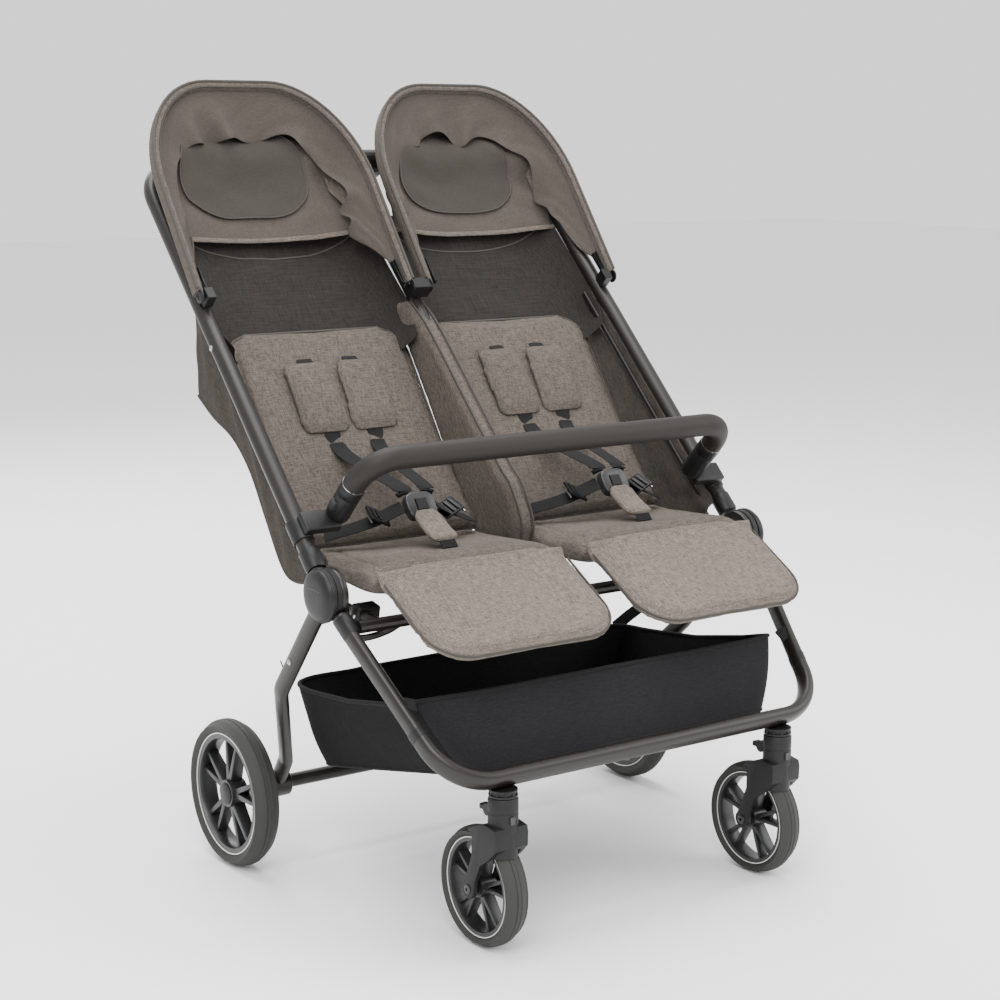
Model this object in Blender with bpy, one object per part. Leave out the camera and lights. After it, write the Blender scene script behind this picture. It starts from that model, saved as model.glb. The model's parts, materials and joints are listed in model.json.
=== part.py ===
"""Side-by-side double stroller: folding frame, two seats, two hoods, bumper bar,
basket, two swivelling front casters and two braked rear wheels.

Metres, +Z up, +X to the stroller's left-hand seat side when seen from the front,
-Y is the way it drives.  The origin is on the floor, under the middle of the object.
"""
import math

import bmesh
import bpy
from mathutils import Matrix, Vector

# ----------------------------------------------------------------- driving sizes
GAP = 0.0003                # between pieces that touch
RUN_GAP = 0.0005            # between pieces that turn past each other
CENTRE_SHIFT = 0.028573     # puts the middle of the object's length over the origin

FOLD_Y = -0.183             # main fold hinge, beside the seat
FOLD_Z = 0.438
HUB_X = 0.348               # inner face of the fixed hub plate
HUB_RADIUS = 0.0345
HUB_PLATE = 0.0085          # thickness of one hub plate
COVER_DEPTH = 0.0150
PIN_RADIUS = 0.0060
TUBE_START = 0.0385         # a tube ends this far from the fold axis

HANDLE_HEIGHT = 0.967
HANDLE_Y = 0.345
HANDLE_HALF_WIDTH = 0.343   # side tube axis at the handle
SIDE_TUBE_X = 0.352         # side tube axis at the hub
HANDLE_TUBE_RADIUS = 0.0120
HANDLE_CORNER = 0.070
GRIP_WALL = 0.0040
SPINE_RADIUS = 0.0095

LEG_TOP_X = 0.357           # front leg axis at the hub
BAR_HALF_WIDTH = 0.306      # front bar, to where the legs' axes meet it
BAR_Y = -0.400
BAR_Z = 0.231
BAR_CORNER = 0.075
LEG_ACROSS = 0.0100         # half sizes of the flattened tube
LEG_DEEP = 0.0150
LEG_SLIM = 0.83             # the legs are this much slimmer than the front bar

SWIVEL_X = 0.231
SWIVEL_Y = BAR_Y
CASTER_TRAIL = 0.041
FRONT_WHEEL_RADIUS = 0.078
FRONT_RIM_RADIUS = 0.0640
FRONT_TYRE_WIDTH = 0.034
STEM_RADIUS = 0.0195
FORK_WALL = 0.0060
WHEEL_SIDE_GAP = 0.0020
SOCKET_HEIGHT = 0.0100

REAR_AXLE_Y = 0.080
REAR_WHEEL_X = 0.3515
REAR_WHEEL_RADIUS = 0.104
REAR_RIM_RADIUS = 0.0850
REAR_TYRE_WIDTH = 0.037
REAR_FOOT_X = 0.283
REAR_FOOT_RADIUS = 0.019
REAR_LEG_ACROSS = 0.0085
REAR_LEG_DEEP = 0.0125
CROSSBAR_RADIUS = 0.0100
AXLE_RADIUS = 0.0060

SEAT_X = 0.166              # middle of one seat
SEAT_WIDTH = 0.296
SEAT_FRONT_Y = -0.226
SEAT_BACK_Y = -0.050
SEAT_TOP_FRONT = 0.476
SEAT_TOP_BACK = 0.459
SEAT_THICK = 0.030
RAIL_RADIUS = 0.0085
SEAT_FRAME_RADIUS = 0.0070
SEAT_FRAME_X = 0.300

LEG_REST_AXIS = (-0.242, 0.461)
LEG_REST_LENGTH = 0.160
LEG_REST_ANGLE = 30.0       # below level, as it is used
LEG_REST_THICK = 0.020
LEG_REST_CORNER = 0.055

RECLINE_AXIS = (-0.030, 0.448)
BACK_ANGLE = 55.0
BACK_LENGTH = 0.348
BACK_THICK = 0.028

CANOPY_AXIS = (0.135, 0.795)
CANOPY_ANGLE = 54.0
CANOPY_X = 0.187            # middle of one hood
CANOPY_HALF_WIDTH = 0.1745
CANOPY_RISE = 0.357
CANOPY_CORNER = 0.125          # its corners are this wide
CANOPY_TALL = 1.4              # and this many times taller
CANOPY_LIP = 0.0100         # depth of the hood at full width
CANOPY_DEPTH = 0.0520       # and at its narrow back
CANOPY_BACK_HALF = 0.116
CANOPY_BACK_FOOT = 0.205
BOW_THICK = 0.0030
BOW_WIDTH = 0.0085

BUMPER_X = 0.302
BUMPER_MOUNT = (-0.126, 0.527)
BUMPER_ANGLE = 134.0        # the way its ends leave their sockets
BUMPER_SOCKET = 0.045
BUMPER_REACH = 0.068
BUMPER_RADIUS = 0.0160
BUMPER_CORNER = 0.045

BASKET_WALL = 0.0040

FINISHES = {
    "frame_black": ((0.020, 0.018, 0.017), 0.38, 0.0),
    "plastic_black": ((0.014, 0.014, 0.015), 0.50, 0.0),
    "bar_leather": ((0.055, 0.047, 0.042), 0.60, 0.0),
    "tyre_rubber": ((0.030, 0.029, 0.029), 0.80, 0.0),
    "rim_plastic": ((0.018, 0.018, 0.018), 0.45, 0.0),
    "seat_fabric": ((0.210, 0.180, 0.160), 0.95, 0.0),
    "hood_fabric": ((0.130, 0.112, 0.100), 0.95, 0.0),
    "basket_fabric": ((0.022, 0.022, 0.023), 0.95, 0.0),
    "buckle_plastic": ((0.030, 0.029, 0.030), 0.35, 0.0),
}

SIDES = {"left": -1, "right": 1}


# ----------------------------------------------------------------- scene helpers
def clear_scene():
    for thing in list(bpy.data.objects):
        bpy.data.objects.remove(thing, do_unlink=True)


def make_material(finish):
    material = bpy.data.materials.get(finish)
    if material is None:
        colour, roughness, metallic = FINISHES[finish]
        material = bpy.data.materials.new(finish)
        material.use_nodes = True
        shader = material.node_tree.nodes["Principled BSDF"]
        shader.inputs["Base Color"].default_value = (*colour, 1.0)
        shader.inputs["Roughness"].default_value = roughness
        shader.inputs["Metallic"].default_value = metallic
    return material


BODIES = {}


def add_body(name, position, parent=None):
    """An empty on a joint's axis; every node of that moving body is its child."""
    empty = bpy.data.objects.new(name + "_axis", None)
    bpy.context.scene.collection.objects.link(empty)
    place = Vector(position)
    if parent is None:
        empty.location = place
    else:
        empty.parent = BODIES[parent][0]
        empty.location = place - BODIES[parent][1]
    BODIES[name] = (empty, place)


def add_object(name, bm, body, finish):
    empty, place = BODIES[body]
    bmesh.ops.translate(bm, verts=bm.verts, vec=-place)
    bmesh.ops.remove_doubles(bm, verts=bm.verts, dist=1e-6)
    bmesh.ops.recalc_face_normals(bm, faces=bm.faces)
    mesh = bpy.data.meshes.new(name)
    bm.to_mesh(mesh)
    bm.free()
    mesh.shade_smooth()
    mesh.set_sharp_from_angle(angle=math.radians(32))
    thing = bpy.data.objects.new(name, mesh)
    thing.parent = empty
    mesh.materials.append(make_material(finish))
    bpy.context.scene.collection.objects.link(thing)
    return thing


def combine(thing, bm, body, operation):
    """Joins a shape to a node, or cuts it away, with a live Boolean."""
    count = len(thing.modifiers)
    tool = add_object(f"{thing.name}_tool_{count}", bm, body, "plastic_black")
    tool.hide_render = True
    tool.display_type = "WIRE"
    modifier = thing.modifiers.new(f"{operation.lower()}_{count}", "BOOLEAN")
    modifier.operation = operation
    modifier.object = tool


def join(thing, bm, body):
    combine(thing, bm, body, "UNION")


def cut(thing, bm, body):
    combine(thing, bm, body, "DIFFERENCE")


# ----------------------------------------------------------------- shape helpers
def axis_frame(direction, hint):
    """Two unit vectors across a direction, the second one near the hint."""
    along = Vector(direction).normalized()
    deep = Vector(hint) - along * Vector(hint).dot(along)
    deep.normalize()
    return deep.cross(along), deep


def bridge(bm, first, second):
    count = len(first)
    for i in range(count):
        j = (i + 1) % count
        bm.faces.new((first[i], first[j], second[j], second[i]))


def sweep(points, half_across, half_deep, hint, sides=12, scale=None):
    """A closed bar of oval section along a path; hint is the section's deep way."""
    bm = bmesh.new()
    rings = []
    for i, point in enumerate(points):
        before = points[max(i - 1, 0)]
        after = points[min(i + 1, len(points) - 1)]
        across, deep = axis_frame(after - before, hint)
        size = 1.0 if scale is None else scale(point)
        ring = []
        for k in range(sides):
            turn = 2 * math.pi * (k + 0.5) / sides
            offset = across * (math.cos(turn) * half_across) + deep * (math.sin(turn) * half_deep)
            ring.append(bm.verts.new(point + offset * size))
        rings.append(ring)
    for first, second in zip(rings, rings[1:]):
        bridge(bm, first, second)
    bm.faces.new(rings[0])
    bm.faces.new(rings[-1])
    return bm


def rounded(points, radius, steps=6):
    """The path through the points, with its corners replaced by arcs."""
    points = [Vector(p) for p in points]
    path = [points[0]]
    for a, b, c in zip(points, points[1:], points[2:]):
        into = (b - a).normalized()
        out = (c - b).normalized()
        bend = into.angle(out)
        reach = radius * math.tan(bend / 2)
        normal = (out - into * into.dot(out)).normalized()
        centre = b - into * reach + normal * radius
        for k in range(steps + 1):
            turn = bend * k / steps
            path.append(centre + (into * math.sin(turn) - normal * math.cos(turn)) * radius)
    path.append(points[-1])
    return path


def rod(start, end, radius, sides=16):
    start, end = Vector(start), Vector(end)
    hint = (0, 0, 1) if abs((end - start).normalized().z) < 0.9 else (0, 1, 0)
    return sweep([start, end], radius, radius, hint, sides)


def box(centre, size, bevel=0.0, turn=0.0):
    """A box, turned about X by turn degrees, with its edges rounded."""
    bm = bmesh.new()
    bmesh.ops.create_cube(bm, size=1.0)
    bmesh.ops.scale(bm, vec=size, verts=bm.verts)
    if bevel:
        bmesh.ops.bevel(bm, geom=bm.edges, offset=bevel, segments=1, affect="EDGES", profile=0.5)
    matrix = Matrix.Translation(Vector(centre)) @ Matrix.Rotation(math.radians(turn), 4, "X")
    bmesh.ops.transform(bm, matrix=matrix, verts=bm.verts)
    return bm


def lathe(profile, centre, sides=32, axis="X", ring=True, offset=0.0):
    """Turns (radius, along) points about an axis; a ring's profile is a closed loop."""
    bm = bmesh.new()
    centre = Vector(centre)
    loops = []
    for k in range(sides):
        turn = 2 * math.pi * (k + offset) / sides - math.pi / 2
        loop = []
        for radius, along in profile:
            c, s = radius * math.cos(turn), radius * math.sin(turn)
            place = Vector((along, c, s)) if axis == "X" else Vector((c, s, along))
            loop.append(bm.verts.new(centre + place))
        loops.append(loop)
    count = len(profile)
    last = count if ring else count - 1
    for k in range(sides):
        here, there = loops[k], loops[(k + 1) % sides]
        for i in range(last):
            j = (i + 1) % count
            bm.faces.new((here[i], here[j], there[j], there[i]))
    if not ring:
        bm.faces.new([loop[0] for loop in loops])
        bm.faces.new([loop[-1] for loop in loops])
    return bm


def extrude_outline(outline, low, high):
    """A flat (y, z) outline made solid from x = low to x = high."""
    bm = bmesh.new()
    ends = [[bm.verts.new((x, y, z)) for y, z in outline] for x in (low, high)]
    bm.faces.new(ends[0])
    bm.faces.new(ends[1])
    bridge(bm, ends[0], ends[1])
    return bm


def direction(angle):
    """The unit vector in the side view, angle degrees above +Y."""
    turn = math.radians(angle)
    return Vector((0.0, math.cos(turn), math.sin(turn)))


def mirror_x(side, x):
    return SIDES[side] * x


def ordered(side, near, far):
    """The low and high x of a span given by its distances from the middle."""
    low, high = sorted((SIDES[side] * near, SIDES[side] * far))
    return low, high


# ----------------------------------------------------------------- frame
FOLD = Vector((0.0, FOLD_Y, FOLD_Z))


def make_front_frame():
    leg_foot = Vector((BAR_HALF_WIDTH, BAR_Y, BAR_Z))
    leg_head = Vector((LEG_TOP_X, FOLD_Y, FOLD_Z))
    down = (leg_foot - leg_head).normalized()
    start = leg_head + down * TUBE_START
    flip = Vector((-1, 1, 1))
    corners = [start * flip, leg_foot * flip, leg_foot, start]
    normal = (leg_foot - leg_head).cross(Vector((1, 0, 0)))

    def slim(point):
        rise = (point.z - BAR_Z) / (start.z - BAR_Z)
        return 1.0 - (1.0 - LEG_SLIM) * min(rise * 2.5, 1.0)

    path = rounded(corners, BAR_CORNER)
    leg_middle = [leg_foot.lerp(start, t) for t in (0.55, 0.40)]
    path = path[:1] + [p * flip for p in leg_middle] + path[1:-1] + leg_middle[::-1] + path[-1:]
    bm = sweep(path, LEG_ACROSS, LEG_DEEP, normal, scale=slim)
    add_object("front_leg_tube", bm, "front_frame", "frame_black")

    rail_y, rail_z = FOLD_Y - 0.046, FOLD_Z - 0.036
    leg_at_rail = leg_head.lerp(leg_foot, (rail_y - FOLD_Y) / (BAR_Y - FOLD_Y))
    rail_end = leg_at_rail.x - LEG_ACROSS * LEG_SLIM - 0.0035
    bm = rod((-rail_end, rail_y, rail_z), (rail_end, rail_y, rail_z), RAIL_RADIUS, 12)
    add_object("seat_front_rail", bm, "front_frame", "frame_black")

    back_y = RECLINE_AXIS[0] + 0.010
    frame_z = RECLINE_AXIS[1] - 0.034
    front_y = rail_y + RAIL_RADIUS + GAP
    corners = [(-SEAT_FRAME_X, front_y, rail_z), (-SEAT_FRAME_X, back_y, frame_z),
               (SEAT_FRAME_X, back_y, frame_z), (SEAT_FRAME_X, front_y, rail_z)]
    bm = sweep(rounded(corners, 0.040), SEAT_FRAME_RADIUS, SEAT_FRAME_RADIUS, (0, 0, 1), 10)
    add_object("seat_frame_tube", bm, "front_frame", "frame_black")


def hinge_tongue(sign, way, low, high):
    """A block that reaches from a hinge plate to the end of its tube."""
    near, far = HUB_RADIUS * 0.70, TUBE_START - 0.0008
    middle = FOLD + way * (near + far) / 2
    middle.x = sign * (low + high) / 2
    turn = math.degrees(math.atan2(way.z, way.y))
    return box(middle, (high - low, far - near, 0.018), turn=turn)


def make_hinges():
    for side in SIDES:
        sign = SIDES[side]
        hub_in, hub_out = HUB_X, HUB_X + HUB_PLATE
        bm = lathe([(HUB_RADIUS, sign * hub_in), (HUB_RADIUS, sign * hub_out)], FOLD, 28, ring=False)
        hub = add_object(f"hinge_hub_{side}", bm, "front_frame", "plastic_black")
        pin_in, pin_out = hub_in - HUB_PLATE - RUN_GAP, hub_out + COVER_DEPTH * 0.6
        pin = [(PIN_RADIUS, sign * pin_in), (PIN_RADIUS, sign * pin_out)]
        join(hub, lathe(pin, FOLD, 14, ring=False), "front_frame")
        leg_way = Vector((0, BAR_Y - FOLD_Y, BAR_Z - FOLD_Z)).normalized()
        tongue = hinge_tongue(sign, leg_way, hub_in + 0.001, hub_out - 0.001)
        join(hub, tongue, "front_frame")

        cover_in = hub_out + RUN_GAP
        cover_out = cover_in + COVER_DEPTH
        dome = [(HUB_RADIUS + 0.0015, sign * cover_in), (HUB_RADIUS, sign * (cover_out - 0.006)),
                (HUB_RADIUS - 0.004, sign * (cover_out - 0.002)), (HUB_RADIUS * 0.55, sign * cover_out)]
        cover = add_object(f"hinge_cover_{side}", lathe(dome, FOLD, 28, ring=False),
                           "upper_frame", "plastic_black")
        bore = [(PIN_RADIUS + RUN_GAP, sign * (cover_in - 0.002)),
                (PIN_RADIUS + RUN_GAP, sign * (pin_out + RUN_GAP))]
        tube_way = Vector((0, HANDLE_Y - FOLD_Y, HANDLE_HEIGHT - FOLD_Z)).normalized()
        join(cover, hinge_tongue(sign, tube_way, cover_in + 0.0005, cover_in + 0.006), "upper_frame")
        cut(cover, lathe(bore, FOLD, 14, ring=False), "upper_frame")


def side_tube_path():
    low = Vector((SIDE_TUBE_X, FOLD_Y, FOLD_Z))
    high = Vector((HANDLE_HALF_WIDTH, HANDLE_Y, HANDLE_HEIGHT))
    start = low + (high - low).normalized() * TUBE_START
    return low, high, start


def side_tube_point(y):
    """The side tube's axis where it passes a given y."""
    low, high, _ = side_tube_path()
    return low.lerp(high, (y - low.y) / (high.y - low.y))


def make_upper_frame():
    low, high, start = side_tube_path()
    flip = Vector((-1, 1, 1))
    path = rounded([start * flip, high * flip, high, start], HANDLE_CORNER)
    normal = (high - low).cross(Vector((1, 0, 0)))
    bm = sweep(path, HANDLE_TUBE_RADIUS, HANDLE_TUBE_RADIUS, normal, 12)
    add_object("handle_tube", bm, "upper_frame", "frame_black")

    along = (high - low).normalized()
    top = Vector((0, high.y, high.z)) - along * (HANDLE_TUBE_RADIUS + 0.0095 + GAP)
    bottom = Vector((0, RECLINE_AXIS[0] - 0.062, 0))
    bottom.z = side_tube_point(bottom.y).z
    add_object("center_spine", rod(bottom, top, SPINE_RADIUS, 12), "upper_frame", "frame_black")

    bar = Vector((0, HANDLE_Y, HANDLE_HEIGHT))
    inner, outer = HANDLE_TUBE_RADIUS + GAP, HANDLE_TUBE_RADIUS + GRIP_WALL
    for side in SIDES:
        a, b = ordered(side, 0.0555, HANDLE_HALF_WIDTH - HANDLE_CORNER - 0.006)
        profile = [(inner * 1.02, a), (outer, a), (outer, b), (inner * 1.02, b)]
        add_object(f"handle_grip_{side}", lathe(profile, bar, 16), "upper_frame", "bar_leather")


def make_fold_control():
    """A sleeve in the middle of the handle, with a slider on it and a squeeze trigger under it."""
    bar = Vector((0, HANDLE_Y, HANDLE_HEIGHT))
    inner = (HANDLE_TUBE_RADIUS + GAP) * 1.02
    outer = HANDLE_TUBE_RADIUS + 0.0095
    half = 0.055
    profile = [(inner, -half), (outer, -half), (outer, half), (inner, half)]
    housing = add_object("fold_housing", lathe(profile, bar, 20), "upper_frame", "plastic_black")
    pocket_low = (outer + inner) / 2
    cut(housing, box(bar - Vector((0, 0, (pocket_low + 0.030) / 1)), (0.052, 0.016, 0.060 - 0.0)),
        "upper_frame")
    flat_top = outer - 0.0022
    cut(housing, box(bar + Vector((0, 0, flat_top + 0.010)), (0.060, 0.060, 0.020)), "upper_frame")

    trigger_top = HANDLE_HEIGHT - pocket_low - 0.0035
    trigger_low = HANDLE_HEIGHT - outer - 0.0035
    bm = box((0, HANDLE_Y, (trigger_top + trigger_low) / 2),
             (0.050, 0.014, trigger_top - trigger_low), bevel=0.001)
    add_object("fold_trigger", bm, "fold_trigger", "plastic_black")
    slider_low = HANDLE_HEIGHT + flat_top + GAP
    bm = box((-0.008, HANDLE_Y, slider_low + 0.0025), (0.020, 0.013, 0.005), bevel=0.001)
    add_object("fold_lock_slider", bm, "fold_lock_slider", "buckle_plastic")


# ----------------------------------------------------------------- rear legs
def rear_leg_points(side):
    axle = Vector((REAR_FOOT_X, REAR_AXLE_Y, REAR_WHEEL_RADIUS))
    head = Vector((SIDE_TUBE_X + 0.001, FOLD_Y, FOLD_Z))
    knee = head.lerp(Vector((SIDE_TUBE_X + 0.001, axle.y, axle.z)), 0.46)
    ankle = head.lerp(Vector((REAR_FOOT_X + 0.006, axle.y, axle.z)), 0.86)
    ankle.x = REAR_FOOT_X + 0.005
    start = head + (knee - head).normalized() * TUBE_START
    flip = Vector((SIDES[side], 1, 1))
    return [p * flip for p in (start, knee, ankle, axle)]


def make_rear_legs():
    for side in SIDES:
        sign = SIDES[side]
        path = rounded(rear_leg_points(side), 0.045, 4)
        bm = sweep(path, REAR_LEG_DEEP, REAR_LEG_ACROSS, (1, 0, 0), 12)
        leg = add_object(f"rear_leg_{side}", bm, "rear_legs", "frame_black")
        foot_in, foot_out = REAR_FOOT_X - 0.016, REAR_FOOT_X + 0.016
        axle = Vector((0, REAR_AXLE_Y, REAR_WHEEL_RADIUS))
        foot = [(REAR_FOOT_RADIUS, sign * foot_in), (REAR_FOOT_RADIUS, sign * foot_out)]
        join(leg, lathe(foot, axle, 20, ring=False), "rear_legs")
        stub = [(AXLE_RADIUS, sign * (foot_out - 0.004)), (AXLE_RADIUS, sign * (REAR_WHEEL_X + 0.013))]
        join(leg, lathe(stub, axle, 14, ring=False), "rear_legs")

        plate_out = HUB_X - RUN_GAP
        plate_in = plate_out - HUB_PLATE
        plate = [(HUB_RADIUS - 0.001, sign * plate_in), (HUB_RADIUS - 0.001, sign * plate_out),
                 (PIN_RADIUS + RUN_GAP, sign * plate_out), (PIN_RADIUS + RUN_GAP, sign * plate_in)]
        down = direction(math.degrees(math.atan2(REAR_WHEEL_RADIUS - FOLD_Z, REAR_AXLE_Y - FOLD_Y)))
        join(leg, lathe(plate, FOLD, 28), "rear_legs")
        tongue_mid = FOLD + down * (HUB_RADIUS + 0.006)
        tongue_mid.x = sign * (plate_in + plate_out) / 2
        turn = math.degrees(math.atan2(down.z, down.y))
        join(leg, box(tongue_mid, (HUB_PLATE - 0.001, 0.026, 0.014), turn=turn), "rear_legs")

    end = REAR_FOOT_X - 0.016 - GAP
    bm = rod((-end, REAR_AXLE_Y, REAR_WHEEL_RADIUS), (end, REAR_AXLE_Y, REAR_WHEEL_RADIUS),
             CROSSBAR_RADIUS, 16)
    add_object("rear_crossbar", bm, "rear_legs", "frame_black")


def make_brake():
    """A foot pedal with an eye that turns on the rear crossbar."""
    centre = Vector((0, REAR_AXLE_Y, REAR_WHEEL_RADIUS))
    bore = CROSSBAR_RADIUS + RUN_GAP
    low, high = 0.150, 0.212
    profile = [(bore * 1.02, low), (bore + 0.0050, low), (bore + 0.0050, high), (bore * 1.02, high)]
    pedal = add_object("brake_pedal", lathe(profile, centre, 16), "brake_pedal", "plastic_black")
    reach = bore + 0.003
    plate = box(((low + high) / 2, REAR_AXLE_Y + reach + 0.022, REAR_WHEEL_RADIUS + 0.002),
                (high - low, 0.044, 0.008), bevel=0.002)
    join(pedal, plate, "brake_pedal")


# ----------------------------------------------------------------- wheels
def tyre_profile(radius, inner, width, along):
    """Round-shouldered tyre section as a closed loop of (radius, along)."""
    half = width / 2
    shape = [(inner, -0.62), (inner + (radius - inner) * 0.35, -0.96), (radius * 0.6 + inner * 0.4, -1.0),
             (radius - half * 0.30, -0.72), (radius, -0.28), (radius, 0.28),
             (radius - half * 0.30, 0.72), (radius * 0.6 + inner * 0.4, 1.0),
             (inner + (radius - inner) * 0.35, 0.96), (inner, 0.62)]
    return [(r, along + a * half) for r, a in shape]


def make_wheel(side, name, centre, radius, rim_radius, width, bore, spokes=5):
    """A tyre and, inside it, a rim with twin spokes around a hub that turns on its axle."""
    flat = radius / math.cos(math.pi / 32)      # so that one flat of the tread lies on the floor
    tyre = lathe(tyre_profile(flat, rim_radius, width, 0.0), centre, 32, offset=0.5)
    add_object(f"{name}_tyre_{side}", tyre, f"{name}_wheel_{side}", "tyre_rubber")
    rim_out = (rim_radius - GAP) * math.cos(math.pi / 32)
    rim_in = rim_out - radius * 0.075
    half = width * 0.36
    body = f"{name}_wheel_{side}"
    rim = add_object(f"{name}_rim_{side}",
                     lathe([(rim_in, -half), (rim_out, -half), (rim_out, half), (rim_in, half)], centre, 32),
                     body, "rim_plastic")
    hub = bore + radius * 0.105
    join(rim, lathe([(bore, -half), (hub, -half), (hub, half), (bore, half)], centre, 20), body)
    for k in range(spokes):
        for lean in (-1, 1):
            turn = 2 * math.pi * k / spokes + lean * 0.19 + math.pi / 2
            middle = (hub + rim_in) / 2
            spoke = box((0, 0, 0), (half * 1.1, rim_in - hub + 0.004, radius * 0.062))
            matrix = (Matrix.Translation(Vector(centre)) @ Matrix.Rotation(turn, 4, "X")
                      @ Matrix.Translation((0, middle, 0)))
            bmesh.ops.transform(spoke, matrix=matrix, verts=spoke.verts)
            join(rim, spoke, body)


def make_rear_wheels():
    for side in SIDES:
        centre = (mirror_x(side, REAR_WHEEL_X), REAR_AXLE_Y, REAR_WHEEL_RADIUS)
        make_wheel(side, "rear", centre, REAR_WHEEL_RADIUS, REAR_RIM_RADIUS, REAR_TYRE_WIDTH,
                   AXLE_RADIUS + RUN_GAP)


def make_casters():
    wheel_y = SWIVEL_Y + CASTER_TRAIL
    wheel_z = FRONT_WHEEL_RADIUS
    bar_low = BAR_Z - math.hypot(LEG_ACROSS, LEG_DEEP) * 0.70711
    socket_top = bar_low - GAP
    socket_low = socket_top - SOCKET_HEIGHT
    stem_top = socket_low - RUN_GAP
    inner_half = FRONT_TYRE_WIDTH / 2 + WHEEL_SIDE_GAP
    outer_half = inner_half + FORK_WALL
    for side in SIDES:
        x = mirror_x(side, SWIVEL_X)
        body = f"caster_{side}"
        socket = lathe([(STEM_RADIUS - 0.0025, socket_low), (STEM_RADIUS - 0.0025, socket_top)],
                       (x, SWIVEL_Y, 0), 20, "Z", ring=False)
        add_object(f"caster_socket_{side}", socket, "front_frame", "plastic_black")

        stem_low = wheel_z + FRONT_WHEEL_RADIUS - 0.030
        stem = lathe([(STEM_RADIUS, stem_low), (STEM_RADIUS, stem_top - 0.002), (STEM_RADIUS - 0.002, stem_top)],
                     (x, SWIVEL_Y, 0), 20, "Z", ring=False)
        fork = add_object(f"caster_fork_{side}", stem, body, "plastic_black")
        shoulder = [(SWIVEL_Y - 0.018, stem_low - 0.006), (SWIVEL_Y - 0.019, wheel_z + 0.086),
                    (SWIVEL_Y + 0.012, wheel_z + 0.089), (wheel_y + 0.006, wheel_z + 0.030),
                    (wheel_y + 0.013, wheel_z), (wheel_y + 0.009, wheel_z - 0.010),
                    (wheel_y, wheel_z - 0.013), (wheel_y - 0.009, wheel_z - 0.010),
                    (wheel_y - 0.014, wheel_z + 0.008)]
        join(fork, extrude_outline(shoulder, x - outer_half, x + outer_half), body)
        clear = FRONT_WHEEL_RADIUS + WHEEL_SIDE_GAP
        well = [(clear, -inner_half), (clear, inner_half)]
        cut(fork, lathe(well, (x, wheel_y, wheel_z), 32, ring=False), body)
        axle = [(0.0045, -outer_half + 0.001), (0.0045, outer_half - 0.001)]
        join(fork, lathe(axle, (x, wheel_y, wheel_z), 12, ring=False), body)
        button_z = wheel_z + 0.102
        pocket = box((x, SWIVEL_Y - STEM_RADIUS + 0.002, button_z), (0.0080, 0.0100, 0.0110))
        cut(fork, pocket, body)
        button = box((x, SWIVEL_Y - STEM_RADIUS + 0.0008, button_z), (0.0070, 0.0060, 0.0100), bevel=0.0006)
        add_object(f"caster_release_{side}", button, f"caster_release_{side}", "buckle_plastic")

        tab_y = SWIVEL_Y + STEM_RADIUS + 0.0085
        tab_z = wheel_z + FRONT_WHEEL_RADIUS + 0.027
        tab = lathe([(0.0080, -0.006), (0.0080, 0.006)], (x, tab_y, tab_z), 16, ring=False)
        lock = add_object(f"swivel_lock_{side}", tab, f"swivel_lock_{side}", "plastic_black")
        join(lock, box((x, tab_y + 0.009, tab_z + 0.001), (0.012, 0.014, 0.007), bevel=0.001),
             f"swivel_lock_{side}")

        make_wheel(side, "front", (x, wheel_y, wheel_z), FRONT_WHEEL_RADIUS, FRONT_RIM_RADIUS,
                   FRONT_TYRE_WIDTH, 0.0045 + RUN_GAP)


# ----------------------------------------------------------------- seats
def make_seats():
    for side in SIDES:
        low, high = ordered(side, SEAT_X - SEAT_WIDTH / 2, SEAT_X + SEAT_WIDTH / 2)
        outline = [(SEAT_FRONT_Y, SEAT_TOP_FRONT - 0.008), (SEAT_FRONT_Y + 0.012, SEAT_TOP_FRONT),
                   (SEAT_BACK_Y, SEAT_TOP_BACK), (SEAT_BACK_Y, SEAT_TOP_BACK - SEAT_THICK + 0.004),
                   (SEAT_FRONT_Y + 0.012, SEAT_TOP_FRONT - SEAT_THICK),
                   (SEAT_FRONT_Y, SEAT_TOP_FRONT - SEAT_THICK + 0.006)]
        add_object(f"seat_cushion_{side}", extrude_outline(outline, low, high), "front_frame", "seat_fabric")
        make_leg_rest(side)
        make_backrest(side)
        make_buckle(side)
        make_side_wall(side)


def make_leg_rest(side):
    """A pad with rounded lower corners, hinged at the seat's front edge."""
    bm = bmesh.new()
    x = mirror_x(side, SEAT_X)
    half = SEAT_WIDTH / 2
    axis = Vector((0, *LEG_REST_AXIS))
    down = direction(180.0 + LEG_REST_ANGLE)
    up = direction(90.0 + LEG_REST_ANGLE)
    outline = [(half, 0.006)]
    for k in range(6):
        turn = math.pi / 2 * k / 5
        outline.append((half - LEG_REST_CORNER * (1 - math.cos(turn)),
                        LEG_REST_LENGTH - LEG_REST_CORNER * (1 - math.sin(turn))))
    outline += [(-a, s) for a, s in reversed(outline)]
    layers = []
    for lift in (-LEG_REST_THICK / 2, LEG_REST_THICK / 2):
        layers.append([bm.verts.new(Vector((x + a, 0, 0)) + axis + down * s + up * lift) for a, s in outline])
    bm.faces.new(layers[0])
    bm.faces.new(layers[1])
    bridge(bm, layers[0], layers[1])
    add_object(f"leg_rest_{side}", bm, f"leg_rest_{side}", "seat_fabric")


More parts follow.
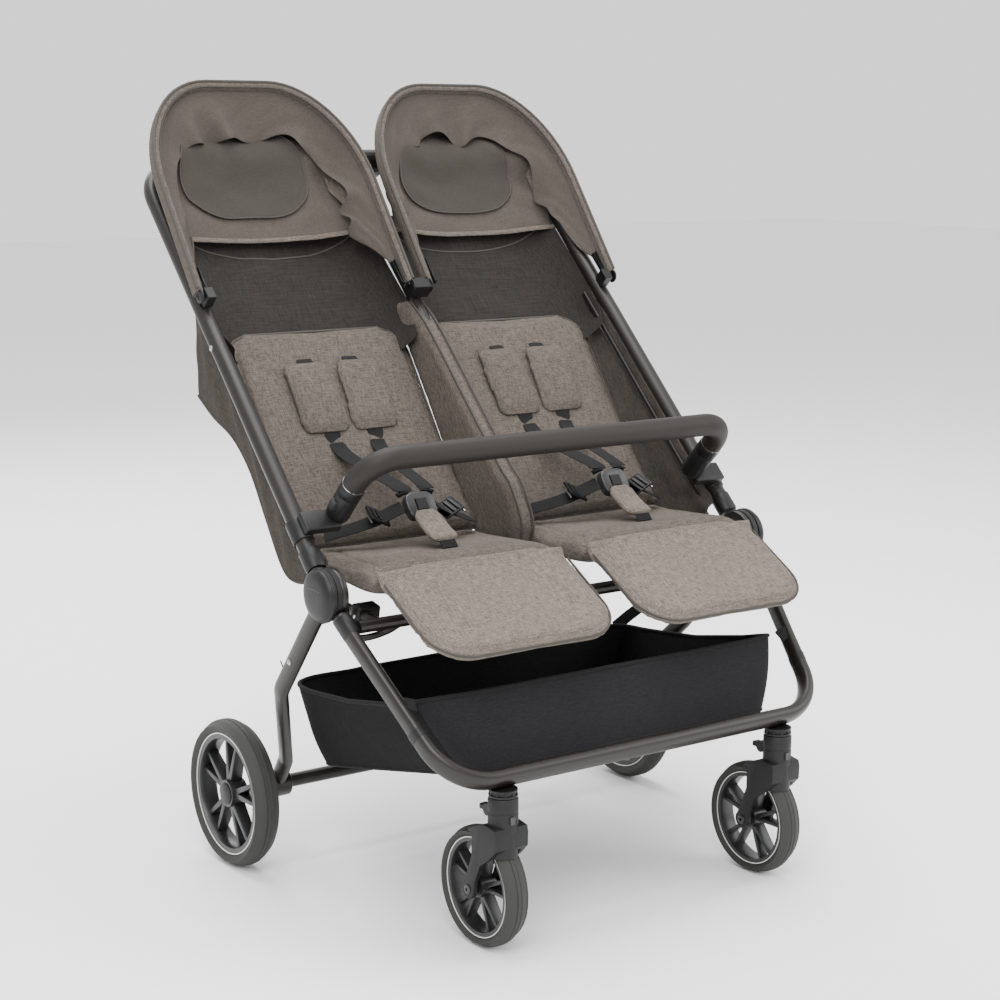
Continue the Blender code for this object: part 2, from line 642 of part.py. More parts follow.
def make_backrest(side):
    low, high = ordered(side, SEAT_X - SEAT_WIDTH / 2, SEAT_X + SEAT_WIDTH / 2)
    axis = Vector((0, *RECLINE_AXIS))
    up = direction(BACK_ANGLE)
    face = direction(BACK_ANGLE + 90.0)
    shape = [(0.012, -0.5), (0.012, 0.36), (0.024, 0.5), (BACK_LENGTH - 0.014, 0.5),
             (BACK_LENGTH, 0.2), (BACK_LENGTH, -0.5)]
    outline = []
    for along, depth in shape:
        point = axis + up * along + face * (depth * BACK_THICK)
        outline.append((point.y, point.z))
    add_object(f"backrest_{side}", extrude_outline(outline, low, high), f"backrest_{side}", "seat_fabric")


def make_upper_back():
    """The thin panel above the backrests, behind the spine."""
    half = SEAT_X + SEAT_WIDTH / 2 + 0.006
    axis = Vector((0, *RECLINE_AXIS))
    up = direction(BACK_ANGLE)
    face = direction(BACK_ANGLE + 90.0)
    start = axis + up * (BACK_LENGTH + 0.020) - face * (BACK_THICK * 0.4)
    lean = (Vector((0, HANDLE_Y, HANDLE_HEIGHT)) - FOLD).normalized()
    end = start + lean * 0.150
    thick = Vector((0, -lean.z, lean.y)) * 0.004
    outline = [(p.y, p.z) for p in (start, end, end - thick, start - thick)]
    add_object("upper_back", extrude_outline(outline, -half, half), "upper_frame", "hood_fabric")


def make_side_wall(side):
    """The fabric wall between a side tube and its seat."""
    low, high = ordered(side, SEAT_X + SEAT_WIDTH / 2 + 0.0085, SEAT_X + SEAT_WIDTH / 2 + 0.0120)
    _, handle, start = side_tube_path()
    tube = (handle - start).normalized()
    drop = Vector((0, tube.z, -tube.y)) * 0.004
    base = Vector((0, *RECLINE_AXIS))
    top = side_tube_point(CANOPY_AXIS[0] + 0.035)
    shape = [start + drop + tube * 0.010, top + drop, top + Vector((0, 0.012, -0.120)),
             base + direction(BACK_ANGLE) * 0.200 + Vector((0, 0.052, -0.020)),
             base + Vector((0, 0.030, -0.030)), base + Vector((0, -0.075, -0.020))]
    outline = [(p.y, p.z) for p in shape]
    add_object(f"seat_side_{side}", extrude_outline(outline, low, high), "upper_frame", "hood_fabric")


BUCKLE_CENTRE = (-0.115, 0.522)


def make_buckle(side):
    x = mirror_x(side, SEAT_X)
    y, z = BUCKLE_CENTRE
    body = box((x, y, z), (0.044, 0.014, 0.038), bevel=0.004, turn=BACK_ANGLE - 90)
    buckle = add_object(f"harness_buckle_{side}", body, "front_frame", "buckle_plastic")
    normal = direction(BACK_ANGLE + 90)
    centre = Vector((x, y, z)) + normal * 0.0070
    cut(buckle, box(centre, (0.0180, 0.0080, 0.0180), turn=BACK_ANGLE - 90), "front_frame")
    press = Vector((x, y, z)) + normal * 0.0066
    bm = box(press, (0.0168, 0.0046, 0.0168), bevel=0.0008, turn=BACK_ANGLE - 90)
    add_object(f"buckle_button_{side}", bm, f"buckle_button_{side}", "plastic_black")


# ----------------------------------------------------------------- hoods
def hood_arch(half_width, rise, corner, foot=0.0, steps=6):
    """(across, up) points of a rounded arch from one foot to the other."""
    points = [(-half_width, foot)]
    for start, across in ((math.pi, -half_width + corner), (math.pi / 2, half_width - corner)):
        for k in range(steps + 1):
            turn = start - math.pi / 2 * k / steps
            tall = corner * CANOPY_TALL
            points.append((across + corner * math.cos(turn), rise - tall + tall * math.sin(turn)))
    points.append((half_width, foot))
    return points


def hood_point(side, across, up, depth):
    axis = Vector((mirror_x(side, CANOPY_X), *CANOPY_AXIS))
    back = direction(CANOPY_ANGLE - 90.0)
    return axis + Vector((across, 0, 0)) + direction(CANOPY_ANGLE) * up + back * depth


def make_hood(side):
    """A hood shell, open to the front and below, and the flat bow that carries its brim."""
    wall = 0.0035
    front = BOW_WIDTH / 2 + GAP
    layers = [(front, CANOPY_HALF_WIDTH, CANOPY_RISE, CANOPY_CORNER, 0.012),
              (front + CANOPY_LIP, CANOPY_HALF_WIDTH, CANOPY_RISE, CANOPY_CORNER, 0.012),
              (CANOPY_DEPTH, CANOPY_BACK_HALF, CANOPY_RISE - 0.012, CANOPY_CORNER - 0.030, CANOPY_BACK_FOOT)]
    bm = bmesh.new()
    outer, inner = [], []
    for depth, half, rise, corner, foot in layers:
        for thin, loops in ((0.0, outer), (wall, inner)):
            arch = hood_arch(half - thin, rise - thin, corner - thin, foot)
            loops.append([bm.verts.new(hood_point(side, a, u, depth)) for a, u in arch])
    order = outer + inner[::-1]
    for first, second in zip(order, order[1:] + order[:1]):
        for i in range(len(first) - 1):
            bm.faces.new((first[i], first[i + 1], second[i + 1], second[i]))
    for end in (0, -1):
        bm.faces.new([loop[end] for loop in order])
    hood = add_object(f"hood_{side}", bm, "upper_frame", "hood_fabric")
    depth, half, rise, corner, foot = layers[-1]
    lining = hood_arch(half - wall / 2, rise - wall / 2, corner - wall / 2, foot)
    bm = bmesh.new()
    sheets = [[bm.verts.new(hood_point(side, a, u, d)) for a, u in lining]
              for d in (depth - wall, depth - 0.0002)]
    bm.faces.new(sheets[0])
    bm.faces.new(sheets[1])
    bridge(bm, sheets[0], sheets[1])
    join(hood, bm, "upper_frame")

    bow_half = CANOPY_HALF_WIDTH - 0.0070
    arch = hood_arch(bow_half, CANOPY_RISE - 0.0060, CANOPY_CORNER - 0.0060)
    path = [hood_point(side, a, u, 0.0) for a, u in arch]
    bm = sweep(path, BOW_THICK / 2, BOW_WIDTH / 2, direction(CANOPY_ANGLE - 90.0), 8)
    body = f"hood_{side}"
    bow = add_object(f"hood_bow_{side}", bm, body, "plastic_black")
    for across in (-bow_half, bow_half):
        x = mirror_x(side, CANOPY_X) + across
        eye = lathe([(0.0085, -0.002), (0.0085, 0.002)], (x, *CANOPY_AXIS), 16, ring=False)
        join(bow, eye, body)


def make_hood_mounts():
    """Blocks that carry the hoods' pivots, on the side tubes and on the spine."""
    tube = side_tube_point(CANOPY_AXIS[0] + 0.020)
    bow_in = CANOPY_X + CANOPY_HALF_WIDTH - 0.0070 - 0.002
    normal = (Vector((0, HANDLE_Y, HANDLE_HEIGHT)) - FOLD).normalized()
    face = Vector((0, -normal.z, normal.y))
    for side in list(SIDES) + ["center"]:
        radius = SPINE_RADIUS if side == "center" else HANDLE_TUBE_RADIUS
        near = tube.copy()
        near.x = 0
        gap = near + face * (radius + GAP)
        pivot = Vector((0, *CANOPY_AXIS))
        reach = (pivot - gap).dot(face)
        along = (pivot - gap).dot(normal)
        centre = gap + face * ((reach + 0.007) / 2) + normal * (along / 2)
        if side == "center":
            low, high = -(CANOPY_X - CANOPY_HALF_WIDTH + 0.0070 - 0.002 - RUN_GAP), 0
            high = -low
        else:
            low, high = ordered(side, bow_in - RUN_GAP - 0.014, bow_in - RUN_GAP)
        centre.x = (low + high) / 2
        turn = math.degrees(math.atan2(normal.z, normal.y))
        bm = box(centre, (high - low, abs(along) + 0.018, reach + 0.007), bevel=0.001, turn=turn)
        add_object(f"hood_mount_{side}", bm, "upper_frame", "plastic_black")


# ----------------------------------------------------------------- bumper bar
def make_bumper():
    out = direction(BUMPER_ANGLE)
    base = Vector((BUMPER_X, *BUMPER_MOUNT))
    flip = Vector((-1, 1, 1))
    start = base + out * (BUMPER_SOCKET + GAP)
    corner = start + out * BUMPER_REACH
    path = rounded([start * flip, corner * flip, corner, start], BUMPER_CORNER)
    bm = sweep(path, BUMPER_RADIUS, BUMPER_RADIUS, out.cross(Vector((1, 0, 0))), 12)
    add_object("bumper_bar", bm, "bumper_bar", "bar_leather")

    tube_way = (Vector((0, HANDLE_Y, HANDLE_HEIGHT)) - FOLD).normalized()
    face = Vector((0, -tube_way.z, tube_way.y))
    for side in SIDES:
        sign = SIDES[side]
        foot = Vector((sign, 1, 1)) * base
        socket = sweep([foot, foot + out * BUMPER_SOCKET], BUMPER_RADIUS, BUMPER_RADIUS, (1, 0, 0), 16)
        mount = add_object(f"bumper_mount_{side}", socket, "upper_frame", "plastic_black")
        tube = side_tube_point(base.y + 0.012)
        seat = tube + face * (HANDLE_TUBE_RADIUS + GAP + 0.007)
        seat.x = sign * (BUMPER_X + SIDE_TUBE_X + 0.004) / 2
        turn = math.degrees(math.atan2(tube_way.z, tube_way.y))
        width = SIDE_TUBE_X + 0.004 - BUMPER_X
        join(mount, box(seat, (width, 0.030, 0.014), turn=turn), "upper_frame")
        across = Vector((sign, 0, 0))
        press = foot + out * 0.026 + across * BUMPER_RADIUS
        cut(mount, box(press, (0.0080, 0.0120, 0.0160), turn=BUMPER_ANGLE - 90), "upper_frame")
        bm = box(press + across * 0.0008, (0.0050, 0.0110, 0.0150), bevel=0.0008, turn=BUMPER_ANGLE - 90)
        add_object(f"bumper_button_{side}", bm, f"bumper_button_{side}", "buckle_plastic")


# ----------------------------------------------------------------- basket
def make_basket():
    """A sling between the legs: four walls and a floor, open on top."""
    corners = {  # half width, y, z
        "front_top": (0.311, BAR_Y + 0.074, BAR_Z + 0.089),
        "front_low": (0.258, BAR_Y + 0.030, BAR_Z - 0.002),
        "rear_low": (0.256, REAR_AXLE_Y - 0.060, REAR_WHEEL_RADIUS + 0.036),
        "rear_top": (0.296, REAR_AXLE_Y - 0.045, REAR_WHEEL_RADIUS + 0.160),
    }
    bm = bmesh.new()
    left = {k: bm.verts.new((-w, y, z)) for k, (w, y, z) in corners.items()}
    right = {k: bm.verts.new((w, y, z)) for k, (w, y, z) in corners.items()}
    order = ("front_top", "front_low", "rear_low", "rear_top")
    bm.faces.new([left[k] for k in order])
    bm.faces.new([right[k] for k in reversed(order)])
    for a, b in zip(order, order[1:]):
        bm.faces.new((left[a], right[a], right[b], left[b]))
    bmesh.ops.recalc_face_normals(bm, faces=bm.faces)
    seams = [e for e in bm.edges if not e.is_boundary]
    bmesh.ops.bevel(bm, geom=seams, offset=0.018, segments=2, affect="EDGES", profile=0.5)
    basket = add_object("basket", bm, "front_frame", "basket_fabric")
    solidify = basket.modifiers.new("wall", "SOLIDIFY")
    solidify.thickness = BASKET_WALL
    solidify.offset = -1.0
    solidify.use_even_offset = True


# ----------------------------------------------------------------- whole object
def main():
    clear_scene()
    add_body("front_frame", (0, 0, 0))
    add_body("upper_frame", FOLD, "front_frame")
    add_body("rear_legs", FOLD, "front_frame")
    rear_axle = (0, REAR_AXLE_Y, REAR_WHEEL_RADIUS)
    add_body("brake_pedal", rear_axle, "rear_legs")
    add_body("fold_trigger", (0, HANDLE_Y, HANDLE_HEIGHT), "upper_frame")
    add_body("fold_lock_slider", (0, HANDLE_Y, HANDLE_HEIGHT), "upper_frame")
    add_body("bumper_bar", (0, *BUMPER_MOUNT), "upper_frame")
    for side in SIDES:
        seat = mirror_x(side, SEAT_X)
        swivel = mirror_x(side, SWIVEL_X)
        wheel_y = SWIVEL_Y + CASTER_TRAIL
        add_body(f"leg_rest_{side}", (seat, *LEG_REST_AXIS), "front_frame")
        add_body(f"backrest_{side}", (seat, *RECLINE_AXIS), "upper_frame")
        add_body(f"hood_{side}", (mirror_x(side, CANOPY_X), *CANOPY_AXIS), "upper_frame")
        add_body(f"buckle_button_{side}", (seat, *BUCKLE_CENTRE), "front_frame")
        add_body(f"bumper_button_{side}", (mirror_x(side, BUMPER_X), *BUMPER_MOUNT), "upper_frame")
        add_body(f"rear_wheel_{side}", (mirror_x(side, REAR_WHEEL_X), *rear_axle[1:]), "rear_legs")
        add_body(f"caster_{side}", (swivel, SWIVEL_Y, 0), "front_frame")
        add_body(f"front_wheel_{side}", (swivel, wheel_y, FRONT_WHEEL_RADIUS), f"caster_{side}")
        add_body(f"caster_release_{side}", (swivel, SWIVEL_Y, 0), f"caster_{side}")
        lock_y = SWIVEL_Y + STEM_RADIUS + 0.0085
        add_body(f"swivel_lock_{side}", (swivel, lock_y, 2 * FRONT_WHEEL_RADIUS + 0.027), f"caster_{side}")
    make_front_frame()
    make_hinges()
    make_upper_frame()
    make_fold_control()
    make_rear_legs()
    make_brake()
    make_rear_wheels()
    make_casters()
    make_seats()
    make_upper_back()
    for side in SIDES:
        make_hood(side)
    make_hood_mounts()
    make_bumper()
    make_basket()
    BODIES["front_frame"][0].location.y = CENTRE_SHIFT


main()
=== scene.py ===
"""Looks of a side-by-side double stroller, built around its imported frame."""
import json
import math

import bpy
from mathutils import Matrix, Vector, noise


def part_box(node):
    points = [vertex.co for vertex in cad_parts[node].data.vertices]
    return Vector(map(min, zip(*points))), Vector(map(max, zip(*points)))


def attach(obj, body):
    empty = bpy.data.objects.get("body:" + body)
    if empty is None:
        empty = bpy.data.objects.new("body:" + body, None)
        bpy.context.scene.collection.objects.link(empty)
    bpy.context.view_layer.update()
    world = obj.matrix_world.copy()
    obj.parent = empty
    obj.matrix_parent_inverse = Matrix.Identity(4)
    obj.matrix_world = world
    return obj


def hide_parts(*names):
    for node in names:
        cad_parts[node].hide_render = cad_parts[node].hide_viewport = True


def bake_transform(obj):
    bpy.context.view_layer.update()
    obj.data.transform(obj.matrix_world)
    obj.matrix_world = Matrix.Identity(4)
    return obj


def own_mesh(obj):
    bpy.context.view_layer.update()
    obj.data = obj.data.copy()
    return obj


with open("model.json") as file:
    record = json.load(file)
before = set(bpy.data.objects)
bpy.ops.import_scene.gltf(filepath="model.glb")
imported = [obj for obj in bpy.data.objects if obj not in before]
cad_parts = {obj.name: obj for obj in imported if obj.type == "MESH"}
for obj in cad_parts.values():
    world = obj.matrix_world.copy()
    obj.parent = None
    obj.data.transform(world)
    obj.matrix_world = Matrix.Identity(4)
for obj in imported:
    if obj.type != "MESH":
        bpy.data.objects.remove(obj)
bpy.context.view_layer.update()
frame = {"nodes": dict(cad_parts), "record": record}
SHIFT = frame["record"]["mounts"][0]["pos_m"][1] + 0.359
SIDES = {"left": -1, "right": 1}


# ------------------------------------------------------------------ small helpers
def at(x, y, z):
    """A point of the design drawing, moved to the row frame."""
    return Vector((x, y + SHIFT, z))


def way(angle):
    """The unit vector in the side view, angle degrees above +Y."""
    turn = math.radians(angle)
    return Vector((0.0, math.cos(turn), math.sin(turn)))


def only(thing):
    """Makes one thing selected and active."""
    bpy.ops.object.select_all(action="DESELECT")
    thing.select_set(True)
    bpy.context.view_layer.objects.active = thing


def apply_all(thing):
    only(thing)
    for modifier in list(thing.modifiers):
        bpy.ops.object.modifier_apply(modifier=modifier.name)


def close_up(thing, doubles=True):
    """Merges doubled points and turns every face outwards."""
    only(thing)
    bpy.ops.object.mode_set(mode="EDIT")
    bpy.ops.mesh.select_all(action="SELECT")
    if doubles:
        bpy.ops.mesh.remove_doubles(threshold=0.00001)
    bpy.ops.mesh.normals_make_consistent(inside=False)
    bpy.ops.object.mode_set(mode="OBJECT")


def soften(thing, width, segments, angle):
    """Rounds the edges sharper than an angle in degrees."""
    bevel = thing.modifiers.new("soften", "BEVEL")
    bevel.width = width
    bevel.segments = segments
    bevel.limit_method = "ANGLE"
    bevel.angle_limit = math.radians(angle)
    apply_all(thing)


def carve(thing, tool):
    """Cuts the tool's shape out of a piece, and takes the tool away."""
    cut = thing.modifiers.new("carve", "BOOLEAN")
    cut.operation = "DIFFERENCE"
    cut.object = tool
    apply_all(thing)
    bpy.data.objects.remove(tool)


def swell(value, power):
    """A power of a number that keeps its sign."""
    return math.copysign(abs(value) ** power, value)


def settle(thing, body, material, replaces=(), angle=40):
    """Applies a finished piece's place, gives it its body and finish, and hides the CAD parts it replaces."""
    only(thing)
    bpy.ops.object.transform_apply(location=True, rotation=True, scale=True)
    close_up(thing)
    bpy.ops.object.shade_smooth_by_angle(angle=math.radians(angle))
    thing.data.materials.clear()
    thing.data.materials.append(material)
    if body:
        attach(thing, body)
    if replaces:
        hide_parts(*replaces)
    return thing


def twin(thing, name, body, material, replaces=()):
    """A mirrored copy of a finished piece for the other side, with its own mesh."""
    copy = thing.copy()
    copy.data = thing.data.copy()
    copy.name = name
    for key in list(copy.keys()):
        if key.startswith("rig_"):
            del copy[key]
    copy.parent = None
    bpy.context.scene.collection.objects.link(copy)
    copy.data.transform(Matrix.Scale(-1, 4, (1, 0, 0)))
    copy.data.flip_normals()
    copy.data.materials.clear()
    copy.data.materials.append(material)
    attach(copy, body)
    if replaces:
        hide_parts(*replaces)
    return copy


def sewn(name, points, faces):
    """A new mesh thing from points and faces."""
    mesh = bpy.data.meshes.new(name)
    mesh.from_pydata([tuple(p) for p in points], [], faces)
    thing = bpy.data.objects.new(name, mesh)
    bpy.context.scene.collection.objects.link(thing)
    return thing


def rounded(points, radius, steps=10):
    """The path through the points, with its corners replaced by arcs."""
    points = [Vector(p) for p in points]
    path = [points[0]]
    for a, b, c in zip(points, points[1:], points[2:]):
        into = (b - a).normalized()
        out = (c - b).normalized()
        bend = into.angle(out)
        if bend < 0.001:
            continue
        reach = radius * math.tan(bend / 2)
        normal = (out - into * into.dot(out)).normalized()
        centre = b - into * reach + normal * radius
        for k in range(steps + 1):
            turn = bend * k / steps
            path.append(centre + (into * math.sin(turn) - normal * math.cos(turn)) * radius)
    path.append(points[-1])
    return path


def smooth_path(points, steps=6):
    """A Catmull-Rom curve through the points."""
    points = [Vector(p) for p in points]
    ends = [points[0] * 2 - points[1]] + points + [points[-1] * 2 - points[-2]]
    path = []
    for a, b, c, d in zip(ends, ends[1:], ends[2:], ends[3:]):
        for k in range(steps):
            t = k / steps
            path.append(0.5 * (2 * b + (c - a) * t + (2 * a - 5 * b + 4 * c - d) * t * t
                + (3 * b - a - 3 * c + d) * t ** 3))
    path.append(points[-1])
    return path


def swept(name, points, across, deep, hint, sides=24, scale=None, power=1.0, closed=False):
    """A bar of oval section drawn along a path; hint is the section's deep way."""
    points = [Vector(p) for p in points]
    count = len(points)
    rings = []
    for i, point in enumerate(points):
        before = points[i - 1] if (closed or i > 0) else point
        after = points[(i + 1) % count] if (closed or i < count - 1) else point
        along = (after - before).normalized()
        aim = Vector(hint(point) if callable(hint) else hint)
        deep_way = (aim - along * aim.dot(along)).normalized()
        across_way = deep_way.cross(along)
        size = 1.0 if scale is None else scale(i / (count - 1))
        ring = []
        for k in range(sides):
            turn = 2 * math.pi * (k + 0.5) / sides
            c, s = math.cos(turn), math.sin(turn)
            c, s = swell(c, power), swell(s, power)
            ring.append(point + across_way * (c * across * size) + deep_way * (s * deep * size))
        rings.append(ring)
    faces = []
    last = count if closed else count - 1
    for i in range(last):
        j = (i + 1) % count
        for k in range(sides):
            m = (k + 1) % sides
            faces.append((i * sides + k, i * sides + m, j * sides + m, j * sides + k))
    if not closed:
        faces.append(tuple(range(sides)))
        faces.append(tuple((count - 1) * sides + k for k in range(sides)))
    return sewn(name, [p for ring in rings for p in ring], faces)


def turned(name, profile, centre, steps=72, axis="X", ring=True):
    """A profile of (radius, along) points spun round an axis in edit mode."""
    centre = Vector(centre)
    points = [centre + (Vector((a, 0, r)) if axis == "X" else Vector((r, 0,
        a)) if axis == "Z" else Vector((0, a, r)))
        for r, a in profile]
    count = len(points)
    thing = sewn(name, points, [])
    mesh = thing.data
    mesh.edges.add(count if ring else count - 1)
    for i, edge in enumerate(mesh.edges):
        edge.vertices = (i, (i + 1) % count)
    only(thing)
    bpy.ops.object.mode_set(mode="EDIT")
    bpy.ops.mesh.select_all(action="SELECT")
    spin_axis = {"X": (1, 0, 0), "Y": (0, 1, 0), "Z": (0, 0, 1)}[axis]
    bpy.ops.mesh.spin(steps=steps, angle=2 * math.pi, center=centre, axis=spin_axis, dupli=False)
    bpy.ops.object.mode_set(mode="OBJECT")
    close_up(thing)
    return thing


def block(name, centre, size, bevel=0.001, turn=0.0, segments=3, inset=0.0, push=0.0, face=(0, 0, 1)):
    """A cube shaped to size: one face set in or raised, its edges rounded, turned about X."""
    bpy.ops.object.select_all(action="DESELECT")
    bpy.ops.mesh.primitive_cube_add(size=1.0, location=(0, 0, 0))
    thing = bpy.context.active_object
    thing.name = name
    thing.scale = size
    bpy.ops.object.transform_apply(location=False, rotation=False, scale=True)
    if inset:
        bpy.ops.object.mode_set(mode="EDIT")
        bpy.ops.mesh.select_all(action="DESELECT")
        bpy.ops.object.mode_set(mode="OBJECT")
        for polygon in thing.data.polygons:
            polygon.select = polygon.normal.dot(Vector(face)) > 0.9
        bpy.ops.object.mode_set(mode="EDIT")
        bpy.ops.mesh.select_mode(type="FACE")
        bpy.ops.mesh.inset(thickness=inset, depth=push)
        bpy.ops.object.mode_set(mode="OBJECT")
    soften(thing, bevel, segments, 25)
    thing.data.transform(Matrix.Translation(Vector(centre)) @ Matrix.Rotation(math.radians(turn), 4, "X"))
    return thing


def cut_out(name, outline, low, high, bevel=0.001, frame_of=None, segments=3):
    """A flat outline made solid between two heights, with rounded edges.

    frame_of is (origin, u, v, w): outline points lie along u and v, heights along w."""
    origin, u, v, w = frame_of
    count = len(outline)
    thing = sewn(name, [origin + u * a + v * b + w * low for a, b in outline], [tuple(range(count))])
    only(thing)
    bpy.ops.object.mode_set(mode="EDIT")
    bpy.ops.mesh.select_all(action="SELECT")
    bpy.ops.mesh.extrude_region_move(TRANSFORM_OT_translate={"value": w * (high - low)})
    bpy.ops.object.mode_set(mode="OBJECT")
    close_up(thing, doubles=False)
    if bevel:
        soften(thing, bevel, segments, 40)
    return thing


def merge(first, *others):
    """Several shells made one piece."""
    bpy.ops.object.select_all(action="DESELECT")
    for thing in others:
        thing.select_set(True)
    first.select_set(True)
    bpy.context.view_layer.objects.active = first
    bpy.ops.object.join()
    return first


def crumple(piece):
    """Gives a cloth piece hung on the upper frame its own mesh."""
    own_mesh(piece)


def both_sides(make):
    """Makes the same piece for the left and then the right."""
    for side, sign in SIDES.items():
        make(side, sign)


# ------------------------------------------------------------------ finishes
def linear(code):
    """An sRGB hex colour as linear RGBA."""
    parts = [int(code[i:i + 2], 16) / 255 for i in (1, 3, 5)]
    return (*[p / 12.92 if p <= 0.04045 else ((p + 0.055) / 1.055) ** 2.4 for p in parts], 1.0)


def add(tree, kind, settings=None, **links):
    """Adds one node; settings go on it or its sockets, links come into its sockets."""
    made = tree.nodes.new(kind)
    for key, value in (settings or {}).items():
        if isinstance(key, int) or key in made.inputs:
            made.inputs[key].default_value = value
        else:
            setattr(made, key, value)
    for key, source in links.items():
        name = key.replace("_", " ")
        socket = made.inputs[int(key[1:])] if key[0] == "i" and key[1:].isdigit() else made.inputs[name]
        tree.links.new(source, socket)
    return made


def blank(name, colour, roughness, **sockets):
    material = bpy.data.materials.new(name)
    material.use_nodes = True
    tree = material.node_tree
    shader = tree.nodes["Principled BSDF"]
    shader.inputs["Base Color"].default_value = linear(colour)
    shader.inputs["Roughness"].default_value = roughness
    for key, value in sockets.items():
        shader.inputs[key.replace("_", " ")].default_value = value
    return material, tree, shader


def grained(name, colour, other, roughness, grain_mm, bump_mm, blotch_mm=60, spread=0.08, **sockets):
    """Moulded or coated surface: fine grain in relief, slow drift of colour and gloss."""
    material, tree, shader = blank(name, colour, roughness, **sockets)
    place = add(tree, "ShaderNodeTexCoord").outputs["Object"]
    slow = add(tree, "ShaderNodeTexNoise", {"Scale": 1000 / blotch_mm, "Detail": 4.0}, Vector=place)
    fine = add(tree, "ShaderNodeTexNoise", {"Scale": 1000 / grain_mm, "Detail": 3.0}, Vector=place)
    tint = add(tree, "ShaderNodeMix", {"data_type": "RGBA", 6: linear(colour), 7: linear(other)},
        Factor=slow.outputs["Fac"])
    tree.links.new(tint.outputs[2], shader.inputs["Base Color"])
    gloss = add(tree, "ShaderNodeMapRange", {"To Min": roughness - spread, "To Max": roughness + spread},
        Value=slow.outputs["Fac"])
    tree.links.new(gloss.outputs["Result"], shader.inputs["Roughness"])
    relief = add(tree, "ShaderNodeBump", {"Strength": 0.5, "Distance": bump_mm / 1000},
        Height=fine.outputs["Fac"])
    tree.links.new(relief.outputs["Normal"], shader.inputs["Normal"])
    return material


def woven(name, light, dark, angle, thread_mm=1.3, slub_mm=11.0, contrast=1.0, bump_mm=0.25, sheen=0.07):
    """Melange polyester weave: warp and weft of two yarns, with slubs along both ways.

    Real threads are 0.4 mm apart; they are drawn coarser so that they show.  angle is the
    cloth's slope in the side view, so the threads lie in its plane."""
    material, tree, shader = blank(name, light, 0.95, Sheen_Weight=sheen, Sheen_Roughness=0.5,
        Specular_IOR_Level=0.2)
    shader.inputs["Sheen Tint"].default_value = linear(light)
    place = add(tree, "ShaderNodeTexCoord").outputs["Object"]
    lie = add(tree, "ShaderNodeMapping", {"Rotation": (math.radians(-angle), 0, 0)},
        Vector=place).outputs["Vector"]
    fine, long = 1000 / thread_mm, 1000 / slub_mm
    streaks = []
    for stretch in ((long, fine, fine), (fine, long, fine)):
        yarn = add(tree, "ShaderNodeMapping", {"Scale": stretch}, Vector=lie)
        streaks.append(add(tree, "ShaderNodeTexNoise", {"Scale": 1.0, "Detail": 2.0, "Roughness": 0.6},
            Vector=yarn.outputs["Vector"]).outputs["Fac"])
    both = add(tree, "ShaderNodeMath", {"operation": "ADD"}, i0=streaks[0], i1=streaks[1])
    wide = add(tree, "ShaderNodeTexNoise", {"Scale": 9.0, "Detail": 3.0}, Vector=place)
    half = 0.24 / contrast
    level = add(tree, "ShaderNodeMapRange", {"From Min": 1.0 - half, "From Max": 1.0 + half},
        Value=both.outputs[0])
    tint = add(tree, "ShaderNodeMix", {"data_type": "RGBA", 6: linear(dark), 7: linear(light)},
        Factor=level.outputs["Result"])
    drift = add(tree, "ShaderNodeMapRange", {"To Min": 0.90, "To Max": 1.08}, Value=wide.outputs["Fac"])
    hue = add(tree, "ShaderNodeHueSaturation", {}, Color=tint.outputs[2], Value=drift.outputs["Result"])
    tree.links.new(hue.outputs["Color"], shader.inputs["Base Color"])
    relief = add(tree, "ShaderNodeBump", {"Strength": 0.6, "Distance": bump_mm / 1000},
        Height=both.outputs[0])
    crumple = add(tree, "ShaderNodeTexNoise", {"Scale": 26.0, "Detail": 3.0, "Distortion": 0.4}, Vector=place)
    folds = add(tree, "ShaderNodeBump", {"Strength": 0.35, "Distance": 0.004}, Height=crumple.outputs["Fac"],
        Normal=relief.outputs["Normal"])
    tree.links.new(folds.outputs["Normal"], shader.inputs["Normal"])
    return material


# Powder coat on aluminium tube: satin near-black with a very fine orange peel.
PAINT = grained("powder_coated_aluminium", "#120f0d", "#191512", 0.38, 0.5, 0.03, Specular_IOR_Level=0.4)
# Moulded ABS with a spark-eroded grain, so its highlights are soft.
ABS = grained("moulded_abs_black", "#0d0d0e", "#121213", 0.46, 0.45, 0.04, Specular_IOR_Level=0.3)
# Glass-filled nylon: duller and coarser than the ABS beside it.
NYLON = grained("glass_filled_nylon_black", "#101011", "#161617", 0.55, 0.7, 0.06, Specular_IOR_Level=0.3)
# Smooth ABS that is handled: a little lighter and glossier.
BUTTON = grained("polished_abs_button", "#232324", "#2b2b2c", 0.30, 0.6, 0.01)
# Leatherette wrap: warm dark brown with a visible pebble grain.
LEATHER = grained("stitched_leatherette", "#191512", "#1f1a17", 0.58, 1.6, 0.18, Specular_IOR_Level=0.3)
# Foam rubber tyre: matt dark grey, slightly dusty, rough.
RUBBER = grained("foam_rubber_tyre", "#1e1e1c", "#262624", 0.72, 0.9, 0.10)
# Moulded rim: smooth black that takes the lamps.
RIM = grained("moulded_rim_black", "#141415", "#1d1d1e", 0.38, 0.8, 0.02)
# Reflective ring on each wheel: pale grey, the brightest line low down.
RING = grained("reflective_ring_grey", "#b9b9b6", "#d2d2ce", 0.35, 0.8, 0.01, spread=0.05)
# Zinc-plated steel: bright metal on rivets and trim.
STEEL = grained("zinc_plated_steel", "#9a9a98", "#b4b4b2", 0.28, 0.6, 0.01, spread=0.05, Metallic=1.0)
# Melange polyester of the flat seats: cool grey-brown, threads across and along.
SEAT_FLAT = woven("melange_weave_seat", "#655e57", "#423c37", 0)
# The same cloth on the leg rests, with painted light: its colours are made lighter because the leg rests catch the
# most light.
PAINTED_LIGHT_REST = woven("melange_painted_light_rest", "#756c63", "#4b453f", 30)
